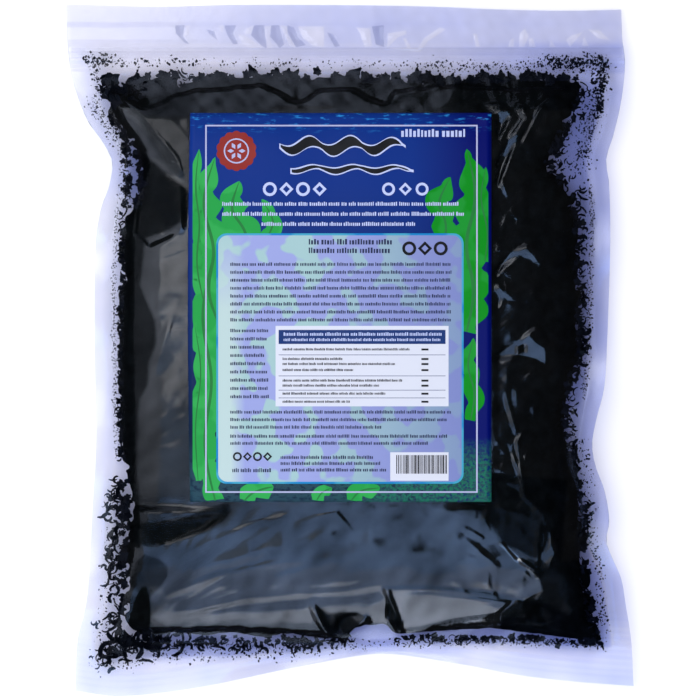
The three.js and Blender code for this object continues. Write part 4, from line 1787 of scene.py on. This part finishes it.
@dataclass
class Print:
    """Flat shapes of one ink, laid on the sticker."""

    sticker: Sticker
    ink: Inks
    cut_pitch: float = 6.0
    frond_lift: float = 0.09
    frond_limits: tuple[float, float, float] = (193.5, 487.5, 500.0)
    bm: BMesh = field(default_factory=bmesh.new)

    def shape(self, outline: Sequence[Point], lift: float = 0.0) -> None:
        """Adds one closed shape, given by its corners in millimetres, lifted over its layer."""
        verts = [self.bm.verts.new((x * MM, y * MM, lift * MM)) for x, y in outline]
        self.bm.faces.new(verts)

    def bar(self, x0: float, y0: float, x1: float, y1: float) -> None:
        """Adds an upright rectangle between two places in the view."""
        self.shape(spots((x0, y1), (x1, y1), (x1, y0), (x0, y0)))

    def frame(self, box: Box, line: float) -> None:
        """Adds the four lines of a rectangle.

        Args:
            box: Its left, upper, right and lower edge in the view.
            line: Width of a line.
        """
        x0, y0, x1, y1 = box
        self.bar(x0, y0, x1, y0 + line)
        self.bar(x0, y1 - line, x1, y1)
        self.bar(x0, y0 + line, x0 + line, y1 - line)
        self.bar(x1 - line, y0 + line, x1, y1 - line)

    def rounded(self, box: Box, radius: float) -> None:
        """Adds a rectangle with round corners.

        Args:
            box: Its left, upper, right and lower edge in the view.
            radius: Radius of a corner.
        """
        left, high, right, low = (k + grow for k, grow in zip(box, (radius,) * 2 + (-radius,) * 2))
        outline = []
        for k, (cx, cy) in enumerate(((right, high), (left, high), (left, low), (right, low))):
            turns = (math.radians(90 * k + 15 * step) for step in range(7))
            outline += around(cx, cy, *((radius, turn) for turn in turns))
        self.shape(outline)

    def ring(self, cx: float, cy: float, inner: float, outer: float, sides: int) -> None:
        """Adds a flat ring, a hollow lozenge where it has four sides.

        Args:
            cx: Its centre across the view.
            cy: Its centre down the view.
            inner: Radius of its hole.
            outer: Its own radius.
            sides: How many sides it has.
        """
        for k in range(sides):
            a, b = (2 * math.pi * j / sides for j in (k, k + 1))
            self.shape(around(cx, cy, (inner, a), (outer, a), (outer, b), (inner, b)))

    def strokes(self, x0: float, x1: float, y: float, height: float, seed: int) -> None:
        """Adds a line of small plain strokes in groups.

        Args:
            x0: Start of the line in the view.
            x1: End of the line.
            y: Middle of the line.
            height: Height of the strokes.
            seed: Which draw of group lengths.
        """
        draw = random.Random(seed)
        at, size = x0, height / 2.7
        while at < x1 - 3 * size:
            end = min(at + draw.uniform(5, 20) * size, x1)
            while at < end:
                wide = draw.uniform(0.8, 1.4) * size
                rise = height * draw.choice((0.5, 0.5, 0.62, 0.8))
                self.bar(at, y - rise, at + wide, y + height / 2)
                at += wide + 0.65 * size
            at += draw.uniform(0.9, 1.5) * size

    def beads(self, x0: float, x1: float, y: float, size: float) -> None:
        """Adds a row of rings and lozenges in turn, each as high as size.

        Args:
            x0: Start of the row in the view.
            x1: End of the row.
            y: Middle of the row.
            size: Height and width of one bead.
        """
        count = max(2, round((x1 - x0) / (size * 1.16)))
        for k in range(count):
            cx = x0 + (x1 - x0) * (k + 0.5) / count
            sides, hole = (16, 0.6) if k % 2 == 0 else (4, 0.5)
            self.ring(cx, y, size / 2 * hole, size / 2, sides)

    def ribbon(self, path: Sequence[Point], width: float, ruffle: float, seed: int) -> None:
        """Adds a ruffled frond along a path, pointed at its far end.

        Args:
            path: Places in the view that the frond runs through.
            width: Its widest width in view steps.
            ruffle: How strongly its edges wave.
            seed: Which draw.
        """
        draw = random.Random(seed)
        # Fronds that overlap lie at slightly different heights within their layer.
        lift = self.sticker.layer_step * self.frond_lift * (seed % 20)
        count, reach = 64, 7
        stations = np.linspace(0, len(path) - 1, count)
        px, py = (
            np.convolve(np.pad(along([(k, p[axis]) for k, p in enumerate(path)], stations),
                               reach, mode="reflect", reflect_type="odd"),
                        np.full(2 * reach + 1, 1 / (2 * reach + 1)), mode="valid")
            for axis in (0, 1)
        )
        dx, dy = np.gradient(px), np.gradient(py)
        length = np.hypot(dx, dy)
        nx, ny = -dy / length, dx / length
        t = np.linspace(0, 1, count)
        body = width / 2 * np.minimum(1, 4 * (1 - t)) ** 0.7 * (0.55 + 0.45 * np.minimum(1, 5 * t))
        phase = draw.uniform(0, 6)
        lobes = 0.11 * float(length.sum())
        waves = 1 + ruffle * (2 * np.abs(np.sin(t * lobes + phase)) - 1.1)
        other = 1 + ruffle * (2 * np.abs(np.sin(t * lobes * 0.9 + phase + 2.2)) - 1.1)
        left, right, low = self.frond_limits
        sides = [
            [spot(float(min(max(ax, left), right)), float(min(ay, low)))
             for ax, ay in zip(px + side * nx * body, py + side * ny * body)]
            for side in (waves, -other)
        ]
        for k in range(count - 1):
            quad = [sides[0][k], sides[0][k + 1], sides[1][k + 1], sides[1][k]]
            self.shape(quad[::-1], lift)

    def build(self, order: int) -> Piece:
        """Lays the shapes on the paper.

        Args:
            order: Place of the ink in the order of printing.

        Returns:
            The print.
        """
        bm = self.bm
        bmesh.ops.remove_doubles(bm, verts=bm.verts, dist=1e-7)
        bmesh.ops.dissolve_degenerate(bm, edges=bm.edges, dist=1e-7)
        for axis, low, high in ((0, -76, 68), (1, -72, 113)):
            normal = Vector((1 - axis, axis, 0))
            for cut in np.arange(low, high, self.cut_pitch):
                geom = [*bm.verts, *bm.edges, *bm.faces]
                bmesh.ops.bisect_plane(
                    bm, geom=geom, plane_co=normal * float(cut) * MM, plane_no=normal
                )
        bmesh.ops.triangulate(bm, faces=bm.faces)
        above = self.sticker.layer_step * (order + 1) * MM
        paper = self.sticker.surface
        for vert in bm.verts:
            hit = paper.ray_cast(Vector((vert.co.x, vert.co.y, ABOVE)), DOWN)[0]
            if hit is None:
                near = Vector((vert.co.x, vert.co.y, self.sticker.about * MM))
                hit = paper.find_nearest(near)[0]
            vert.co.z += hit.z + above
        for face in bm.faces:
            face.normal_update()
        bmesh.ops.reverse_faces(bm, faces=[face for face in bm.faces if face.normal.z < 0])
        return piece_from(bm, f"print_{self.ink.name.lower()}", self.ink.value.build())


@dataclass
class StickerPrint:
    """The sticker's plain print: a border, fronds, a panel, rows of strokes and a table."""

    sticker: Sticker
    ruffle: float = 0.34
    rib_share: float = 0.11

    def fronds(self, kelp: Print, deep: Print, ribs: Print) -> None:
        """Kelp fronds that grow up both sides of the sticker.

        Args:
            kelp: Ink of the left fronds.
            deep: Ink of the right ones.
            ribs: Ink of their midribs.
        """
        left = (
            ([(216, 500), (204, 440), (214, 380), (202, 320), (212, 262)], 26),
            ([(199, 480), (196, 425), (202, 372), (195, 322)], 11),
            ([(222, 330), (208, 290), (216, 250), (203, 205), (216, 158)], 28),
            ([(204, 300), (197, 262), (201, 225), (196, 190), (200, 150)], 15),
            ([(250, 262), (246, 232), (232, 210), (240, 182)], 25),
            ([(276, 262), (268, 240), (274, 222), (262, 200)], 16),
            ([(244, 501), (252, 493), (264, 488), (274, 486)], 17),
            ([(316, 501), (322, 492), (332, 487)], 12),
            ([(350, 501), (361, 490), (380, 487)], 16),
        )
        right = (
            ([(466, 332), (474, 288), (464, 245), (476, 200), (466, 150)], 32),
            ([(484, 262), (487, 232), (480, 200), (485, 168)], 14),
            ([(440, 262), (446, 226), (438, 204), (450, 178)], 22),
            ([(470, 420), (474, 392), (467, 366), (473, 338)], 16),
        )
        for ink, first, group in ((kelp, 0, left), (deep, 20, right)):
            for seed, (path, width) in enumerate(group):
                ink.ribbon(path, width, self.ruffle, seed + first)
                ribs.ribbon(path, width * self.rib_share, 0.0, seed)

    def crest(self, red: Print, pale: Print) -> None:
        """A plain scalloped rosette with a pale ring and petals.

        Args:
            red: Ink of its body.
            pale: Ink of what lies on it.
        """
        cx, cy, scallops, inner_petals = 237.0, 152.0, 14, 6
        turns = [2 * math.pi * k / (scallops * 6) for k in range(scallops * 6)]
        rim = ((18.6 + 1.5 * abs(math.sin(turn * scallops / 2)), turn) for turn in turns)
        red.shape(around(cx, cy, *rim))
        pale.ring(cx, cy, 11.2, 12.6, 24)
        for k in range(inner_petals):
            petal = ((2.2, 0.0), (6.0, 0.34), (9.2, 0.0), (6.0, -0.34))
            pale.shape(around(cx, cy, *((r, math.pi / 3 * k + d) for r, d in petal)))

    def swell(self, print_: Print, grow: float) -> None:
        """Brushed waves across the top of the sticker.

        Args:
            print_: Ink that they are printed in.
            grow: How far they are grown all round, in view steps.
        """
        count = 44
        for row, (x0, x1, y, size) in enumerate(((281, 404, 147, 12.5), (292, 412, 170, 5.5))):
            upper, lower = [], []
            for k in range(count + 1):
                t = k / count
                x = x0 - grow + t * (x1 - x0 + 2 * grow)
                wave = 4.6 * math.sin(t * 19 + row) * (1 - 0.5 * row)
                ends = math.sin(math.pi * min(1.0, 0.06 + t * 0.97)) ** 0.3
                thick = size * (0.35 + 0.65 * abs(math.sin(t * 9.5 + row))) * ends
                upper.append((x, y + wave - thick / 2 - grow))
                lower.append((x, y + wave + thick / 2 + grow))
            for k in range(count):
                print_.shape(spots(lower[k], lower[k + 1], upper[k + 1], upper[k]))

    def build(self) -> list[Piece]:
        """Prints every ink.

        Returns:
            The prints, in order.
        """
        sheets = {ink: Print(self.sticker, ink) for ink in Inks}
        self.fronds(sheets[Inks.KELP], sheets[Inks.DEEP_KELP], sheets[Inks.MIDRIB])
        sheets[Inks.LINE].frame((206, 126, 477, 492), 1.5)
        sheets[Inks.RIM].rounded((217, 234, 463, 483), 10)
        sheets[Inks.PANEL].rounded((219, 236, 461, 481), 9)
        table, head = sheets[Inks.TABLE], sheets[Inks.HEAD]
        table.bar(276, 326, 448, 406)
        table.bar(390, 451.7, 448, 480)
        head.bar(279, 330, 445, 344)
        for y in (354.6, 375.5, 389.7, 397.4):
            head.bar(279, y, 445, y + 0.5)
        text, pale, black = sheets[Inks.TEXT], sheets[Inks.PALE_TEXT], sheets[Inks.BLACK]
        self.swell(pale, 1.3)
        for x0, x1, y, size in (
            (401, 470, 135, 6),
            (223, 463, 205, 3.0), (223, 463, 215, 3.0), (262, 420, 225, 3.0),
            (284, 440, 334.5, 2.6), (284, 440, 340, 2.2),
        ):
            pale.strokes(x0, x1, y, size, int(x0 + y))
        for x0, x1, y, size in ((262, 328, 190, 14), (380, 430, 190, 13)):
            pale.beads(x0, x1, y, size)
        for k in range(8):
            text.strokes(231, 450, 265 + 7.9 * k, 2.6, 60 + k)
        for k in range(9):
            text.strokes(231, 268, 331 + 8.2 * k, 2.6, 80 + k)
        for x0, x1, y, size in (
            (309, 396, 243, 4.2), (309, 396, 251.5, 4.2), (231, 450, 412, 2.5),
            (231, 446, 419.5, 2.5), (231, 380, 427, 2.5), (231, 450, 436, 2.5),
            (231, 430, 443, 2.5), (281, 372, 457, 2.6), (281, 380, 463, 2.6),
            (281, 386, 469.5, 2.6), (233, 272, 470, 3.0),
        ):
            text.strokes(x0, x1, y, size, int(x0 + y))
        for k, y in enumerate((349.5, 359, 364, 370, 380.5, 385.5, 393.5, 401.5)):
            black.strokes(283, 283 + (128, 60, 112, 70, 118, 96, 104, 66)[k], y, 1.9, 30 + k)
            black.bar(421, y - 0.95, 428, y + 0.95)
        black.beads(233, 273, 456, 9)
        black.beads(401, 448, 249, 14)
        self.swell(black, 0.0)
        draw, at = random.Random(5), 396.0
        while at < 446:
            wide = draw.choice((0.5, 0.5, 0.9, 1.3))
            black.bar(at, 454.5, at + wide, 473)
            at += wide + draw.choice((0.5, 0.8, 1.1))
        self.crest(sheets[Inks.RED], sheets[Inks.LINE])
        order = {ink: k for k, ink in enumerate(Inks)}
        order[Inks.RED] = order[Inks.MIDRIB]
        return [sheet.build(order[ink]) for ink, sheet in sheets.items()]


# -------- the studio


@dataclass(frozen=True)
class Card:
    """A softbox above the table, given by its edges, its brightness and its tilt in degrees."""

    name: str
    x: Point
    y: Point
    height: float
    light: tuple[float, float, float]
    mirrored: bool = True
    tilt: float = 0.0

    def build(self) -> None:
        """Hangs the softbox, facing down but for its tilt."""
        wide, deep = self.x[1] - self.x[0], self.y[1] - self.y[0]
        lamp = bpy.data.lights.new(self.name, "AREA")
        lamp.shape = "RECTANGLE"
        lamp.size, lamp.size_y = wide, deep
        peak = max(self.light)
        lamp.color = tuple(c / peak for c in self.light)
        lamp.energy = math.pi * wide * deep * peak
        holder = bpy.data.objects.new(self.name, lamp)
        holder.location = (sum(self.x) / 2, sum(self.y) / 2, self.height)
        holder.visible_glossy = self.mirrored
        holder.visible_camera = False
        if self.tilt:
            holder.rotation_euler = (math.radians(self.tilt), 0, 0)
        bpy.context.scene.collection.objects.link(holder)


@dataclass(frozen=True)
class Studio:
    """Pale table, soft lights and the camera straight above."""

    lens: float = 500.0
    sensor: float = 36.0
    view_mm: float = VIEW_STEPS * MM_PER_STEP
    seen_at: float = 10.0
    table_tone: str = "#fdfdfd"
    table_reach: float = 4.0
    table_gap: float = 0.3
    room_light: Colour = (0.9, 0.93, 1.0, 1.0)
    room_strength: float = 0.03
    cards: tuple[Card, ...] = (
        Card("soft_key", (-1.5, 1.0), (-0.9, 0.8), 2.2, (3.75, 3.55, 3.4), False),
        Card("left_card_upper", (-0.6, -0.1), (-0.01, 0.9), 1.2, (1.45, 1.5, 1.65)),
        Card("left_card_lower", (-0.6, -0.1), (-0.36, -0.01), 1.2, (0.42, 0.55, 0.8)),
        Card("left_card_far", (-6.5, -0.6), (-0.35, 1.9), 1.2, (0.6, 0.66, 0.8)),
        Card("left_card_front", (-6.5, -0.6), (-5.0, -0.35), 1.2, (0.42, 0.47, 0.6)),
        Card("front_card_near", (-0.1, 0.1), (-0.36, -0.05), 1.2, (0.6, 0.95, 1.7)),
        Card("front_card_middle", (-0.6, 0.32), (-0.85, -0.36), 1.2, (0.58, 0.92, 1.65)),
        Card("front_card_far", (-0.6, 0.32), (-1.75, -0.85), 1.2, (0.75, 1.02, 1.65)),
        Card("front_card_end", (-0.6, 0.32), (-2.7, -1.75), 1.2, (1.15, 1.2, 1.4)),
        Card("front_card_low", (-0.45, 0.1), (-2.3, -1.3), 0.7, (0.85, 1.06, 1.45), True, 70),
        Card("back_card", (-0.9, 0.045), (0.138, 1.45), 1.2, (0.3, 0.32, 0.4)),
        Card("back_card_low", (-1.0, 0.06), (1.0, 2.0), 0.6, (0.32, 0.37, 0.5), True, -75),
    )

    def build(self) -> None:
        """Sets up the table, the lights, the world and the camera."""
        scene = bpy.context.scene
        scene.view_settings.view_transform = "Standard"
        world = bpy.data.worlds.new("dim_room")
        world.use_nodes = True
        room = world.node_tree.nodes["Background"].inputs
        room["Color"].default_value = self.room_light
        room["Strength"].default_value = self.room_strength
        scene.world = world
        for card in self.cards:
            card.build()
        self.table()
        self.camera()

    def table(self) -> None:
        """Lays the plain table just under the pack."""
        material = Surface("matt_white_table").solid(self.table_tone, 0.9, 0.5)
        bm = bmesh.new()
        bmesh.ops.create_grid(bm, x_segments=1, y_segments=1, size=self.table_reach)
        bmesh.ops.translate(bm, verts=bm.verts, vec=(0, 0, -self.table_gap * MM))
        table = piece_from(bm, "table", material, soft=False)
        table.visible_glossy = False

    def camera(self) -> None:
        """Hangs the camera over the pack, looking straight down."""
        scene = bpy.context.scene
        eye = bpy.data.cameras.new("camera")
        eye.lens, eye.sensor_width = self.lens, self.sensor
        holder = bpy.data.objects.new("camera", eye)
        away = self.view_mm * MM * self.lens / self.sensor
        aside = (VIEW_STEPS / 2 - MIDDLE[0]) * MM_PER_STEP * MM
        holder.location = (aside, 0, away + self.seen_at * MM)
        scene.collection.objects.link(holder)
        scene.camera = holder


# -------- putting it together


def attach(piece: Piece, slot: str, *nodes: str) -> None:
    """Lets a piece ride on the pack and hides what it stands for.

    Args:
        piece: The finished piece.
        slot: Name of a material slot; not used.
        nodes: CAD nodes that it replaces.
    """
    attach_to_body(piece, "root")
    if nodes:
        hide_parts(*nodes)
    LOG.info("%s: %d faces", piece.name, len(piece.data.polygons))


def main() -> None:
    """Builds the dressed pack."""
    logging.basicConfig(level=logging.INFO, format="%(name)s %(message)s")
    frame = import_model()
    Studio().build()

    form = PackForm(frame["nodes"]["pouch"])
    film = FilmPouch(form, FilmRelief((-77.5, 68.0, -72.8, 113.7)))
    attach(film.build(ClearFilm()), "clear_film", "pouch")

    packed = DriedSeaweed("packed_wakame", "#030505", "#0a0e0e", 0.7, 0.03)
    attach(WakameBed(film).build(packed), "dried_wakame")
    for piece in LooseWakame(film).build(DriedSeaweed().build()):
        attach(piece, "dried_wakame")

    frame["nodes"]["zip_strip"].data.materials[0] = ZipPlastic().build()

    sticker = Sticker(film)
    attach(sticker.sheet(PrintedSticker()), "label_print", "label")
    for print_ in StickerPrint(sticker).build():
        attach(print_, "label_print")


if __name__ == "__main__":
    main()
